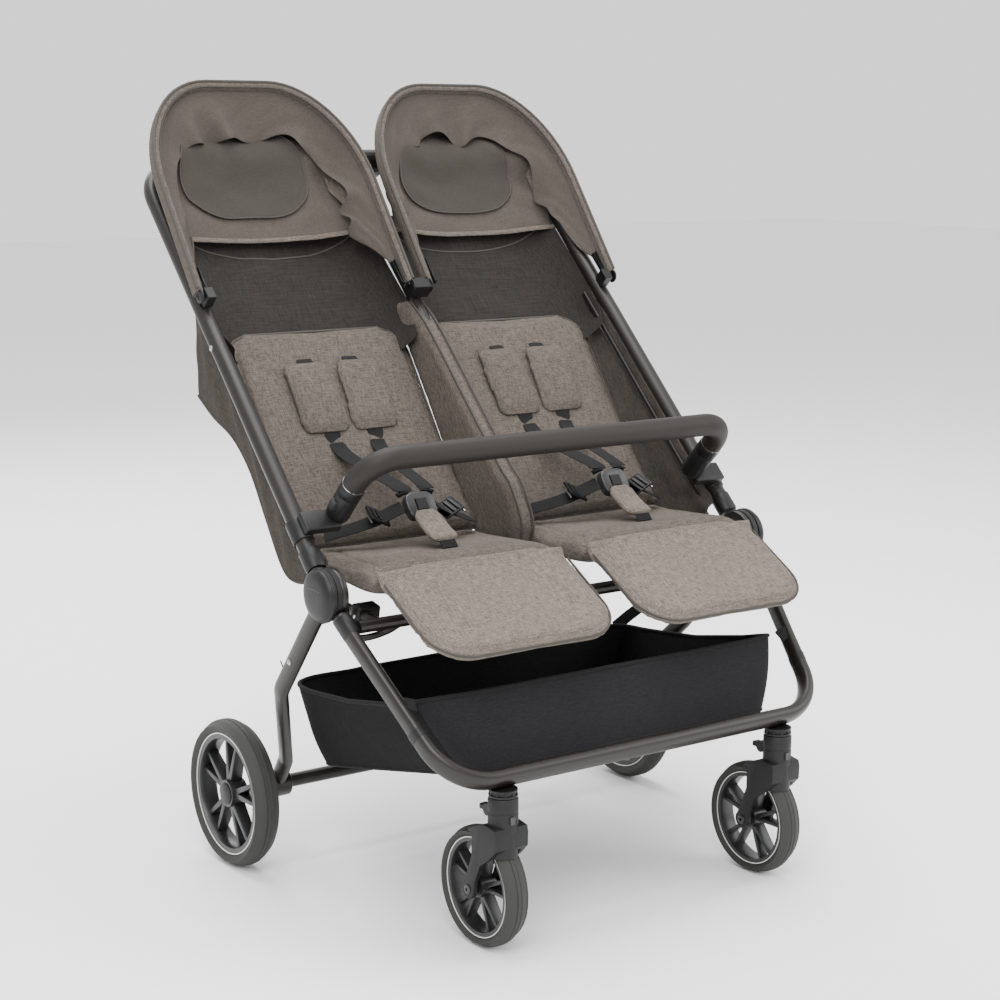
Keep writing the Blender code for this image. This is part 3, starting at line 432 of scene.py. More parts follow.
# The same cloth on the backs, with painted shade: its colours are made darker because the backs stand in softer
# light.
PAINTED_SHADE_BACK = woven("melange_painted_shade_back", "#5d564f", "#3c3732", 55)
# The same cloth stretched on the hood bows.
HOOD_CLOTH = woven("melange_weave_hood", "#5c554e", "#3d3833", 51)
# Plain weave lining: less contrast than the melange.
HOOD_LINING = woven("plain_weave_lining", "#4d4742", "#3a3530", 51, contrast=0.6, thread_mm=1.0)
# The same melange on the side walls, with painted shade: its colours are made darker because the walls stand in
# shade.
PAINTED_DEEP_SHADE_WALL = woven("melange_painted_deep_shade_wall", "#433e39", "#2b2724", 45)
# Warp-knit mesh: dark, with long vertical runs.
MESH_CLOTH = woven("warp_knit_mesh", "#2d2926", "#1a1816", 45, thread_mm=1.5, slub_mm=60, contrast=0.8)
# Brushed window panel: smooth and nearly plain.
WINDOW_CLOTH = woven("brushed_window_cloth", "#3d3935", "#322e2b", 55, contrast=0.5, thread_mm=1.0)
# Painted studio floor: even and pale.
FLOOR = grained("studio_floor_white", "#f4f4f4", "#f8f8f8", 0.9, 40, 0.0)
# Piping tape and thread: matt, darker than the cloth it edges.
PIPING = grained("piping_tape", "#332e2a", "#3a3530", 0.85, 0.7, 0.10)
# Ripstop front of the basket: black with a faint grid.
BASKET = woven("ripstop_polyester_black", "#232325", "#151516", 40, thread_mm=1.1, contrast=0.7, sheen=0.1)
# Coarse net sides of the basket: open weave, blacker.
BASKET_NET = woven("coarse_net_black", "#141415", "#08080a", 40, thread_mm=2.4, slub_mm=4, contrast=1.2,
    sheen=0.0)
# Nylon webbing: tight ribs, a little sheen.
WEBBING = woven("nylon_webbing_black", "#202021", "#121213", 60, thread_mm=1.1, slub_mm=3, contrast=0.8,
    sheen=0.1)


# ------------------------------------------------------------------ frame tubes
FOLD = (-0.183, 0.438)
BAR = (-0.400, 0.231)
HANDLE = (0.345, 0.967)
REAR_AXLE = (0.080, 0.104)
FRONT_AXLE = (-0.359, 0.078)
CASTER_X = 0.231
REAR_FOOT_X = 0.283
TUBE_START = 0.0375  # from the fold axis to where a tube leaves its plate


def frame_tubes():
    head, foot = at(0.357, *FOLD), at(0.306, *BAR)
    flip = Vector((-1, 1, 1))
    start = head + (foot - head).normalized() * TUBE_START
    normal = (foot - head).cross(Vector((1, 0, 0)))
    path = rounded([start * flip, foot * flip, foot, start], 0.075, 16)
    legs = [foot.lerp(start, t) for t in (0.60, 0.45, 0.36)]
    path = path[:1] + [p * flip for p in legs] + path[1:-1] + legs[::-1] + path[-1:]
    top = start.z

    def slim(t):
        count = len(path) - 1
        here = path[round(t * count)]
        return 1.0 - 0.17 * min(2.5 * (here.z - foot.z) / (top - foot.z), 1.0)

    settle(swept("front_leg_tube_drawn", path, 0.0100, 0.0150, normal, 28, slim, power=0.85), "front_frame",
        PAINT, ["front_leg_tube"])
    for side, sign in SIDES.items():
        near, far = foot.lerp(head, 0.245), foot.lerp(head, 0.285)
        settle(swept(f"leg_joint_collar_{side}", [near * Vector((sign, 1, 1)), far * Vector((sign, 1, 1))],
            0.0093, 0.0135, normal, 28, power=0.85), "front_frame", ABS)

    low, high = at(0.352, *FOLD), at(0.343, *HANDLE)
    start = low + (high - low).normalized() * TUBE_START
    path = rounded([start * flip, high * flip, high, start], 0.070, 18)
    settle(swept("handle_tube_drawn", path, 0.0120, 0.0120, (high - low).cross(Vector((1, 0, 0))), 28),
        "upper_frame", PAINT, ["handle_tube"])

    for side, sign in SIDES.items():
        axle = at(REAR_FOOT_X, *REAR_AXLE)
        head_r = at(0.353, *FOLD)
        knee = head_r.lerp(Vector((0.353, axle.y, axle.z)), 0.46)
        ankle = head_r.lerp(Vector((0.289, axle.y, axle.z)), 0.86)
        ankle.x = 0.288
        start = head_r + (knee - head_r).normalized() * TUBE_START
        points = [p * Vector((sign, 1, 1)) for p in (start, knee, ankle, axle)]
        leg = swept(f"rear_leg_drawn_{side}", rounded(points, 0.045, 10), 0.0125, 0.0085, (1, 0, 0), 28,
            power=0.8)
        foot_ring = turned("foot", [(0.0075, -0.016), (0.0175, -0.016), (0.0190, -0.0145), (0.0190, 0.0145),
            (0.0175, 0.016), (0.0075, 0.016)],
            (sign * REAR_FOOT_X, axle.y, axle.z), 48)
        stub = turned("stub", [(0.0, sign * 0.014), (0.006, sign * 0.014), (0.006, sign * 0.078),
            (0.0, sign * 0.078)], (sign * REAR_FOOT_X, axle.y, axle.z), 24, ring=False)
        plate_x = 0.34325
        fold = at(sign * plate_x, *FOLD)
        plate = turned("plate", [(0.0066, -0.00425), (0.0325, -0.00425), (0.0335, -0.003), (0.0335, 0.003),
            (0.0325, 0.00425), (0.0066, 0.00425)], fold, 48)
        down = (knee - head_r).normalized()
        tongue = block("tongue", fold + down * 0.0405, (0.0075, 0.026, 0.014), 0.001,
            math.degrees(math.atan2(down.z, down.y)))
        for part in (leg, foot_ring, stub, plate, tongue):
            settle(part, "rear_legs", PAINT)
        leg = merge(leg, foot_ring, stub, plate, tongue)
        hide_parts(f"rear_leg_{side}")
        settle(turned(f"rear_leg_rivet_{side}", [(0.0, 0.0), (0.0042, 0.0), (0.0042, sign * 0.001),
            (0.0028, sign * 0.0022), (0.0, sign * 0.0024)],
            at(sign * 0.3612, -0.100, 0.3325), 24, ring=False), "rear_legs", STEEL)


def hinge_covers(side, sign):
    """Domed caps with a seam across the top third and a raised rim."""
    base = 0.357
    dome = [(0.0066, 0.0), (0.0350, 0.0), (0.0360, 0.0010), (0.0360, 0.0052), (0.0352, 0.0064),
        (0.0345, 0.0066), (0.0340, 0.0072), (0.0336, 0.0088), (0.0320, 0.0112), (0.0280, 0.0134),
        (0.0200, 0.0146), (0.0100, 0.0150), (0.0, 0.0150)]
    profile = [(r, sign * a) for r, a in dome]
    profile = [(0.0, 0.0)] + profile
    settle(turned(f"hinge_cover_dome_{side}", profile, at(sign * base, *FOLD), 72, ring=False),
        "upper_frame", ABS, [f"hinge_cover_{side}"], angle=28)
    # the arc seam: a fine groove strip that follows the dome
    arc = []
    for k in range(25):
        t = k / 24 * 2 - 1
        y, z = 0.0335 * t, 0.0085 - 0.0055 * t * t
        r = math.hypot(y, z)
        depth = 0.0150 - 0.0062 * (r / 0.034) ** 3.2
        arc.append(at(sign * (base + depth), FOLD[0] + y * 0.985, FOLD[1] + z))
    settle(swept(f"hinge_cover_seam_{side}", arc, 0.00045, 0.0005, (1, 0, 0), 8), "upper_frame", BUTTON)
    settle(turned(f"hinge_hub_skirt_{side}", [(0.0067, sign * 0.3482), (0.0335, sign * 0.3482),
        (0.0345, sign * 0.3492), (0.0345, sign * 0.3556),
        (0.0335, sign * 0.3564), (0.0067, sign * 0.3564)],
        at(0, *FOLD), 60), "front_frame", NYLON, [f"hinge_hub_{side}"])
    # moulded sleeves where tubes enter the hinge
    for label, body, target, x, size in (("upper", "upper_frame", HANDLE, 0.3515, 0.0138),
            ("front", "front_frame", BAR, 0.3545, 0.0132)):
        a = at(sign * x, *FOLD)
        b = at(sign * (0.343 if label == "upper" else 0.306), *target)
        line = (b - a).normalized()
        settle(swept(f"hinge_sleeve_{label}_{side}",
            [a + line * TUBE_START, a + line * 0.041, a + line * 0.066,
            a + line * 0.068],
            size * (1.0 if label == "upper" else 0.83), size * (1.0 if label == "upper" else 1.03),
            line.cross(Vector((1, 0, 0))), 28,
            scale=lambda t: (0.9, 1.0, 1.0, 0.93)[round(t * 3)], power=0.9), body, ABS)


# ------------------------------------------------------------------ wheels
def tyre(name, side, centre, radius, inner, half, body):
    shoulder = [(inner - 0.0003, -0.62), (inner + 0.003, -0.80), (inner + (radius - inner) * 0.35, -0.96),
        (inner + (radius - inner) * 0.58, -1.0), (radius - half * 0.36, -0.84), (radius - half * 0.17, -0.62)]
    tread = [(radius - half * 0.05, -0.40), (radius - 0.0002, -0.24), (radius - 0.0010, -0.20),
        (radius - 0.0010, -0.16), (radius - 0.0001, -0.12)]
    right = shoulder + tread
    left = [(r, -a) for r, a in reversed(right)]
    profile = [(r, a * half) for r, a in right + left]
    settle(turned(name, profile, centre, 96), body, RUBBER,
        [f"{name.split('_')[0]}_tyre_{side}"], angle=50)


def rim(name, side, centre, radius, inner, half, hub, bore, body, spokes=5):
    """A channel ring, a stepped hub and pairs of tapered spokes."""
    ring = turned("ring", [(inner - radius * 0.085, -half * 0.75), (inner - radius * 0.07, -half),
        (inner - 0.0004, -half), (inner - 0.0004, half), (inner - radius * 0.07, half),
        (inner - radius * 0.085, half * 0.75)], centre, 96)
    sign = SIDES[side]
    core = turned("core", [(bore, -half * 0.95), (hub, -half * 0.95), (hub * 1.05, -half * 0.5),
        (hub * 1.05, half * 0.5),
        (hub, half * 0.95), (bore, half * 0.95)], centre, 48)
    parts = [ring, core]
    reach = inner - radius * 0.075 - hub
    for k in range(spokes):
        for lean in (-1, 1):
            arm = block("arm", (0, 0, 0), (half * 1.15, reach + 0.004, radius * 0.070), 0.0012, 0, 2)
            for vertex in arm.data.vertices:
                t = (vertex.co.y / (reach + 0.004)) + 0.5
                vertex.co.z *= 1.25 - 0.45 * t
                vertex.co.x *= 1.0 + 0.25 * (1 - t)
                vertex.co.z += lean * radius * 0.030 * (t - 0.45)
            turn = 2 * math.pi * k / spokes + lean * 0.17 + math.pi / 2 + 0.10
            arm.data.transform(Matrix.Translation(Vector(centre)) @ Matrix.Rotation(turn, 4, "X")
                @ Matrix.Translation((0, hub + reach / 2, 0)))
            parts.append(arm)
    for part in parts:
        settle(part, body, RIM)
    whole = merge(*parts)
    whole.name = f"{name}_moulded_{side}"
    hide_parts(f"{name}_{side}")
    for face in (-1, 1):
        x = centre[0] + face * half * 1.02
        settle(turned(f"{name}_ring_{side}_{'in' if face * sign < 0 else 'out'}",
            [(inner - radius * 0.006, -0.0006), (inner + radius * 0.010, -0.0006),
            (inner + radius * 0.010, 0.0006), (inner - radius * 0.006, 0.0006)],
            (x, centre[1], centre[2]), 96), body, RING)
    settle(turned(f"{name}_hub_cap_{side}", [(0.0, sign * half * 0.7), (hub * 0.80, sign * half * 0.95),
        (hub * 0.80, sign * (half * 0.95 + 0.0012)),
        (hub * 0.55, sign * (half * 0.95 + 0.0030)), (0.0, sign * (half * 0.95 + 0.0034))],
        centre, 40, ring=False), body, ABS)


def wheels(side, sign):
    rear = tuple(at(sign * 0.3515, *REAR_AXLE))
    tyre(f"rear_tyre_foam_{side}", side, rear, 0.104, 0.0850, 0.0185, f"rear_wheel_{side}")
    rim("rear_rim", side, rear, 0.104, 0.0850, 0.0133, 0.0190, 0.0066, f"rear_wheel_{side}")
    front = tuple(at(sign * CASTER_X, *FRONT_AXLE))
    tyre(f"front_tyre_foam_{side}", side, front, 0.078, 0.0640, 0.0170, f"front_wheel_{side}")
    rim("front_rim", side, front, 0.078, 0.0640, 0.0122, 0.0135, 0.0052, f"front_wheel_{side}")


def casters(side, sign):
    bar_low = BAR[1] - math.hypot(0.0100, 0.0150) * 0.70711
    stem_top = bar_low - 0.0003 - 0.0100 - 0.0005
    outer, inner = 0.0250, 0.0190
    x = sign * CASTER_X
    body = f"caster_{side}"
    low = 0.130
    stem = turned("stem", [(0.0, low), (0.0185, low), (0.0193, 0.140), (0.0193, 0.186), (0.0186, 0.1868),
        (0.0186, 0.1885), (0.0193, 0.1893), (0.0193, stem_top - 0.003),
        (0.0178, stem_top - 0.0006), (0.0, stem_top - 0.0002)],
        at(x, BAR[0], 0), 56, "Z", ring=False)
    outline = [(-0.0185, -0.012), (-0.0192, 0.006), (-0.0170, 0.014), (0.000, 0.0165), (0.0135, 0.0150),
        (0.0290, 0.0085), (0.0400, 0.0035), (0.0410, -0.0005), (0.0330, -0.0010), (0.0330, -0.030),
        (0.0400, -0.048)]
    for k in range(9):
        turn = math.radians(50 - k * 29)
        outline.append((0.041 + 0.0125 * math.cos(turn), -0.078 + 0.0125 * math.sin(turn)))
    outline += [(0.0270, -0.066), (0.0150, -0.040), (-0.0050, -0.026)]
    frame_of = (at(x, BAR[0], 0.156), Vector((0, 1, 0)), Vector((0, 0, 1)), Vector((1, 0, 0)))
    saddle = cut_out("saddle", outline, -outer, outer, 0.0, frame_of)
    well = turned("well", [(0.0, -inner), (0.0806, -inner), (0.0806, inner), (0.0, inner)],
        at(x, *FRONT_AXLE), 96, ring=False)
    carve(saddle, well)
    soften(saddle, 0.0010, 2, 50)
    pin = turned("pin", [(0.0, -outer - 0.0008), (0.0046, -outer - 0.0008), (0.0046, outer + 0.0008),
        (0.0, outer + 0.0008)], at(x, *FRONT_AXLE), 28, ring=False)
    for part in (stem, saddle, pin):
        settle(part, body, NYLON, angle=35)
    fork = merge(stem, saddle, pin)
    fork.name = f"caster_fork_moulded_{side}"
    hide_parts(f"caster_fork_{side}")
    for face in (-1, 1):
        settle(turned(f"axle_bolt_{side}_{'near' if face * sign < 0 else 'far'}",
            [(0.0, 0.0), (0.0062, 0.0), (0.0062, face * 0.0012), (0.0050, face * 0.0020),
            (0.0024, face * 0.0020), (0.0022, face * 0.0008), (0.0, face * 0.0008)],
            at(x + face * outer, *FRONT_AXLE), 32, ring=False), body, BUTTON)
    collar_z = bar_low - 0.0103
    settle(turned(f"caster_socket_ringed_{side}",
        [(0.0, collar_z), (0.0182, collar_z), (0.0186, collar_z + 0.0006), (0.0186, collar_z + 0.0026),
        (0.0166, collar_z + 0.0034), (0.0166, collar_z + 0.0058), (0.0184, collar_z + 0.0066),
        (0.0184, collar_z + 0.0096), (0.0, collar_z + 0.0098)],
        at(x, BAR[0], 0), 56, "Z", ring=False), "front_frame", ABS,
        [f"caster_socket_{side}"])
    # ten ribs across the band's slot
    ribs = []
    for k in range(10):
        turn = 2 * math.pi * k / 10 + 0.2
        rib = block("rib", (0, 0, 0), (0.0036, 0.0024, 0.0034), 0.0004, 0, 1)
        rib.data.transform(Matrix.Translation(at(x, BAR[0], collar_z + 0.0046))
            @ Matrix.Rotation(turn, 4, "Z") @ Matrix.Translation((0, 0.0168, 0)))
        settle(rib, "front_frame", ABS)
        ribs.append(rib)
    merge(*ribs).name = f"caster_socket_ribs_{side}"


# ------------------------------------------------------------------ soft goods
SEAT_X = 0.166
HALF = 0.148
REST_AXIS = (-0.242, 0.461)
BACK_AXIS = (-0.030, 0.448)
REST_ANGLE = 210
BACK_ANGLE = 55
HOOD_AXIS = (0.135, 0.795)
HOOD_X = 0.187
HOOD_ANGLE = 54.0
VOXEL = 0.0050
SWELL_FRAMES = 20


def padding(name, cuts, shape, cap=0.006, pressure=4.0):
    """A cube cut up and shaped to a pad, then blown up as cloth, with its movement capped."""
    bpy.ops.object.select_all(action="DESELECT")
    bpy.ops.mesh.primitive_cube_add(size=2.0, location=(0, 0, 0))
    pad = bpy.context.active_object
    pad.name = name
    bpy.ops.object.mode_set(mode="EDIT")
    bpy.ops.mesh.select_all(action="SELECT")
    bpy.ops.mesh.subdivide(number_cuts=cuts)
    bpy.ops.object.mode_set(mode="OBJECT")
    for vertex in pad.data.vertices:
        vertex.co = shape(*vertex.co)
    net = pad.modifiers.new("net", "REMESH")
    net.mode = "VOXEL"
    net.voxel_size = VOXEL
    apply_all(pad)
    rest = [v.co.copy() for v in pad.data.vertices]
    cloth = pad.modifiers.new("cloth", "CLOTH")
    cloth.settings.use_pressure = True
    cloth.settings.uniform_pressure_force = pressure
    cloth.settings.effector_weights.gravity = 0.0
    cloth.settings.tension_stiffness = 12
    cloth.settings.compression_stiffness = 12
    cloth.settings.bending_stiffness = 0.4
    cloth.point_cache.frame_start = 1
    cloth.point_cache.frame_end = SWELL_FRAMES
    for number in range(1, SWELL_FRAMES + 1):
        bpy.context.scene.frame_set(number)
    only(pad)
    bpy.ops.object.modifier_apply(modifier=cloth.name)
    bpy.context.scene.frame_set(1)
    for vertex, old in zip(pad.data.vertices, rest):
        move = vertex.co - old
        if move.length > cap:
            vertex.co = old + move * (cap / move.length)
    return pad


def refine(pad, levels=1):
    smooth = pad.modifiers.new("smooth", "SUBSURF")
    smooth.levels = levels
    smooth.render_levels = levels
    apply_all(pad)


def press_seams(pad, lines, depth=0.0020, width=0.0035, normal=None):
    """Draws the cloth in along sewn lines: each line is a list of points on the pad."""
    import numpy as np
    co = np.zeros(len(pad.data.vertices) * 3)
    pad.data.vertices.foreach_get("co", co)
    co = co.reshape(-1, 3)
    near = np.full(len(co), 1e9)
    for line in lines:
        for a, b in zip(line, line[1:]):
            a, b = np.array(a), np.array(b)
            d = b - a
            t = np.clip(((co - a) @ d) / max(d @ d, 1e-12), 0, 1)
            near = np.minimum(near, np.linalg.norm(co - (a + t[:, None] * d), axis=1))
    normals = np.zeros(len(co) * 3)
    pad.data.vertices.foreach_get("normal", normals)
    normals = normals.reshape(-1, 3)
    pull = depth * np.exp(-(near / width) ** 2)
    if normal is not None:
        facing = normals @ np.array(normal)
        pull = pull * (facing > 0.2)
    co -= normals * pull[:, None]
    pad.data.vertices.foreach_set("co", co.ravel())
    pad.data.update()


def plane_frame(axis, angle):
    """Origin, up-slope and outward directions of a panel in the side view."""
    return at(0, *axis), way(angle), way(angle + 90)


def rest_shape(side):
    origin, down, _ = plane_frame(REST_AXIS, REST_ANGLE)
    up = way(REST_ANGLE - 90)
    x0 = SIDES[side] * SEAT_X

    def shape(u, v, w, thick=0.0082):
        s = (v + 1) / 2
        along = -0.010 + s * 0.1725
        half = HALF + 0.001
        corner = 0.060
        if along > 0.162 - corner:
            k = (along - (0.162 - corner)) / corner
            half -= corner * (1 - math.sqrt(max(0.0, 1 - min(k, 1.0) ** 2 * 0.97)))
        edge = max(abs(u) ** 6, max(0.0, (s - 0.9) / 0.1) ** 2)
        lift = w * thick * (1 - 0.45 * edge) + 0.0015 * (1 - u * u) * (w > 0)
        lift += 0.010 * max(0.0, (0.10 - s) / 0.10) ** 1.5
        return origin + Vector((x0 + u * half, 0, 0)) + down * along + up * lift
    return shape


def rest_line(side, inset, lift, start=0.012):
    """A line on the leg rest that follows its edge at a distance."""
    origin, down, _ = plane_frame(REST_AXIS, REST_ANGLE)
    up = way(REST_ANGLE - 90)
    x0 = SIDES[side] * SEAT_X
    half = HALF + 0.001 - inset
    corner = 0.060 - inset * 0.7
    far = 0.1625 - inset
    points = [(-half, start)]
    for k in range(9):
        turn = math.pi / 2 * k / 8
        points.append((-half + corner * (1 - math.cos(turn)), far - corner * (1 - math.sin(turn))))
    points += [(-a, s) for a, s in reversed(points)]
    return [origin + Vector((x0 + a, 0, 0)) + down * s + up * lift for a, s in points]


def leg_rests():
    side = "right"
    pad = padding("leg_rest_pad_right", 18, rest_shape(side), cap=0.0045, pressure=3.0)
    refine(pad)
    press_seams(pad, [rest_line(side, 0.011, 0.0090)], 0.0016, 0.0024, normal=tuple(way(REST_ANGLE - 90)))
    # the leg rest cloth has painted light: its colours are a lighter copy of the seat cloth
    settle(pad, "leg_rest_right", PAINTED_LIGHT_REST, ["leg_rest_right"], angle=70)
    other = twin(pad, "leg_rest_pad_left", "leg_rest_left", PAINTED_LIGHT_REST, ["leg_rest_left"])
    for side in SIDES:
        settle(swept(f"leg_rest_piping_{side}", rest_line(side, 0.0046, 0.0030), 0.0017, 0.0017,
            tuple(way(REST_ANGLE - 90)), 10), f"leg_rest_{side}", PIPING)
        settle(stitched(f"leg_rest_stitch_{side}", rest_line(side, 0.0075, 0.0094), 0.0034,
            tuple(way(REST_ANGLE - 90))), f"leg_rest_{side}", PIPING)


def stitched(name, line, pitch, hint, length=0.0022, size=0.00038):
    """A row of stitches along a line, as short flat threads."""
    points, faces = [], []
    left = 0.0
    for a, b in zip(line, line[1:]):
        a, b = Vector(a), Vector(b)
        d = (b - a)
        reach = d.length
        if reach < 1e-9:
            continue
        d.normalize()
        aim = Vector(hint)
        up = (aim - d * aim.dot(d)).normalized()
        side = up.cross(d)
        t = left
        while t + length < reach:
            p, q = a + d * t, a + d * (t + length)
            base = len(points)
            for end, grow in ((p, 0.4), ((p + q) / 2, 1.0), (q, 0.4)):
                for c, s in ((1, 0), (0, 1), (-1, 0), (0, -1)):
                    points.append(end + side * (c * size * grow) + up * (s * size * grow * 0.8))
            for r in range(2):
                for k in range(4):
                    m = (k + 1) % 4
                    faces.append((base + r * 4 + k, base + r * 4 + m, base + r * 4 + 4 + m,
                        base + r * 4 + 4 + k))
            faces.append((base, base + 1, base + 2, base + 3))
            faces.append((base + 8, base + 9, base + 10, base + 11))
            t += pitch
        left = t - reach if t > reach else 0.0
    return sewn(name, points, faces)


def seat_cushions():
    def shape(u, v, w):
        y = -0.1320 + v * 0.1020
        slope = 0.478 + (0.461 - 0.478) * (v + 1) / 2
        edge = abs(u) ** 8
        front = max(0.0, (-v - 0.80) / 0.20)
        top = slope - 0.004 + 0.003 * (1 - u * u) - 0.006 * edge - 0.012 * front ** 2
        low = 0.438 + 0.006 * edge + 0.010 * front ** 2
        # raised hips towards the back corners
        top += 0.010 * abs(u) ** 4 * max(0.0, (v + 0.3) / 1.3) ** 2
        z = low + (top - low) * (w + 1) / 2
        return at(SEAT_X + u * (HALF + 0.002), y, z)

    pad = padding("seat_pad_right", 18, shape, cap=0.004, pressure=3.0)
    refine(pad)
    lines = []
    for s in (-1, 1):
        lines.append([at(SEAT_X + s * (0.128 - 0.030 * (k / 12) ** 2), -0.232 + 0.18 * k / 12,
            0.477 - 0.014 * k / 12)
            for k in range(13)])
    lines.append([at(SEAT_X + x, -0.226, 0.474) for x in (-0.14, 0.14)])
    press_seams(pad, lines, 0.0028, 0.0030, normal=(0, 0, 1))
    settle(pad, "front_frame", SEAT_FLAT, ["seat_cushion_right"], angle=70)
    other = twin(pad, "seat_pad_left", "front_frame", SEAT_FLAT, ["seat_cushion_left"])


def back_half(s):
    """Half width of the back pad at a height: full below, rounded at the top corners."""
    half = HALF + 0.003
    if s > 0.86:
        k = (s - 0.86) / 0.14
        half -= 0.048 * (1 - math.sqrt(max(0.0, 1 - k * k * 0.97)))
    return half


def backrests():
    origin, up, face = plane_frame(BACK_AXIS, BACK_ANGLE)

    def shape(u, v, w):
        s = (v + 1) / 2
        along = 0.008 + s * 0.344
        edge = max(abs(u) ** 7, max(0.0, (s - 0.94) / 0.06) ** 2)
        depth = 0.0115 * (1 - 0.42 * edge)
        lift = w * depth
        if w > 0:
            lift += 0.0040 * (1 - u * u) * math.sin(math.pi * min(1, s * 1.1))
            lift += 0.016 * abs(u) ** 5 * max(0.0, 0.55 - s) / 0.55
        lift -= 0.006 * (1 - abs(u)) * (s > 0.5) * (s - 0.5)
        return origin + Vector((SEAT_X + u * back_half(s), 0, 0)) + up * along + face * lift

    pad = padding("back_pad_right", 22, shape, cap=0.005, pressure=3.0)
    refine(pad)
    lines = []
    for s in (-1, 1):
        lines.append([origin + Vector((SEAT_X + s * (0.098 + 0.036 * math.cos(k / 14 * math.pi / 1.6)), 0, 0))
            + up * (0.010 + 0.190 * k / 14) + face * 0.014 for k in range(15)])
        lines.append([origin + Vector((SEAT_X + s * (back_half(t) - 0.013), 0,
            0)) + up * (0.008 + 0.344 * t) + face * 0.013
            for t in [0.55 + 0.4 * k / 10 for k in range(11)]])
    lines.append([origin + Vector((SEAT_X + a, 0, 0)) + up * 0.337 + face * 0.012 for a in (-0.085, 0.085)])
    for s in (-1, 1):
        for t in (0.270, 0.245):
            lines.append([origin + Vector((SEAT_X + s * 0.036 + a, 0,
                0)) + up * t + face * 0.014 for a in (-0.020, 0.020)])
    press_seams(pad, lines, 0.0028, 0.0032, normal=tuple(face))
    # the back cloth has painted shade: its colours are a darker copy of the seat cloth
    settle(pad, "backrest_right", PAINTED_SHADE_BACK, ["backrest_right"], angle=70)
    other = twin(pad, "back_pad_left", "backrest_left", PAINTED_SHADE_BACK, ["backrest_left"])
    for side, sign in SIDES.items():
        line = []
        for t in [k / 40 for k in range(41)]:
            line.append(origin + Vector((sign * SEAT_X + (back_half(t) - 0.0024), 0,
                0)) + up * (0.012 + 0.3345 * t) + face * 0.003)
        back = [Vector((2 * sign * SEAT_X - p.x, p.y, p.z)) for p in reversed(line)]
        settle(swept(f"back_piping_{side}", line + back, 0.0019, 0.0019, tuple(face), 10),
            f"backrest_{side}", PIPING)


def on_back(x, along, lift):
    """A point over the face of a backrest, along it from its hinge."""
    origin, up, face = plane_frame(BACK_AXIS, BACK_ANGLE)
    return origin + Vector((x, 0, 0)) + up * along + face * lift


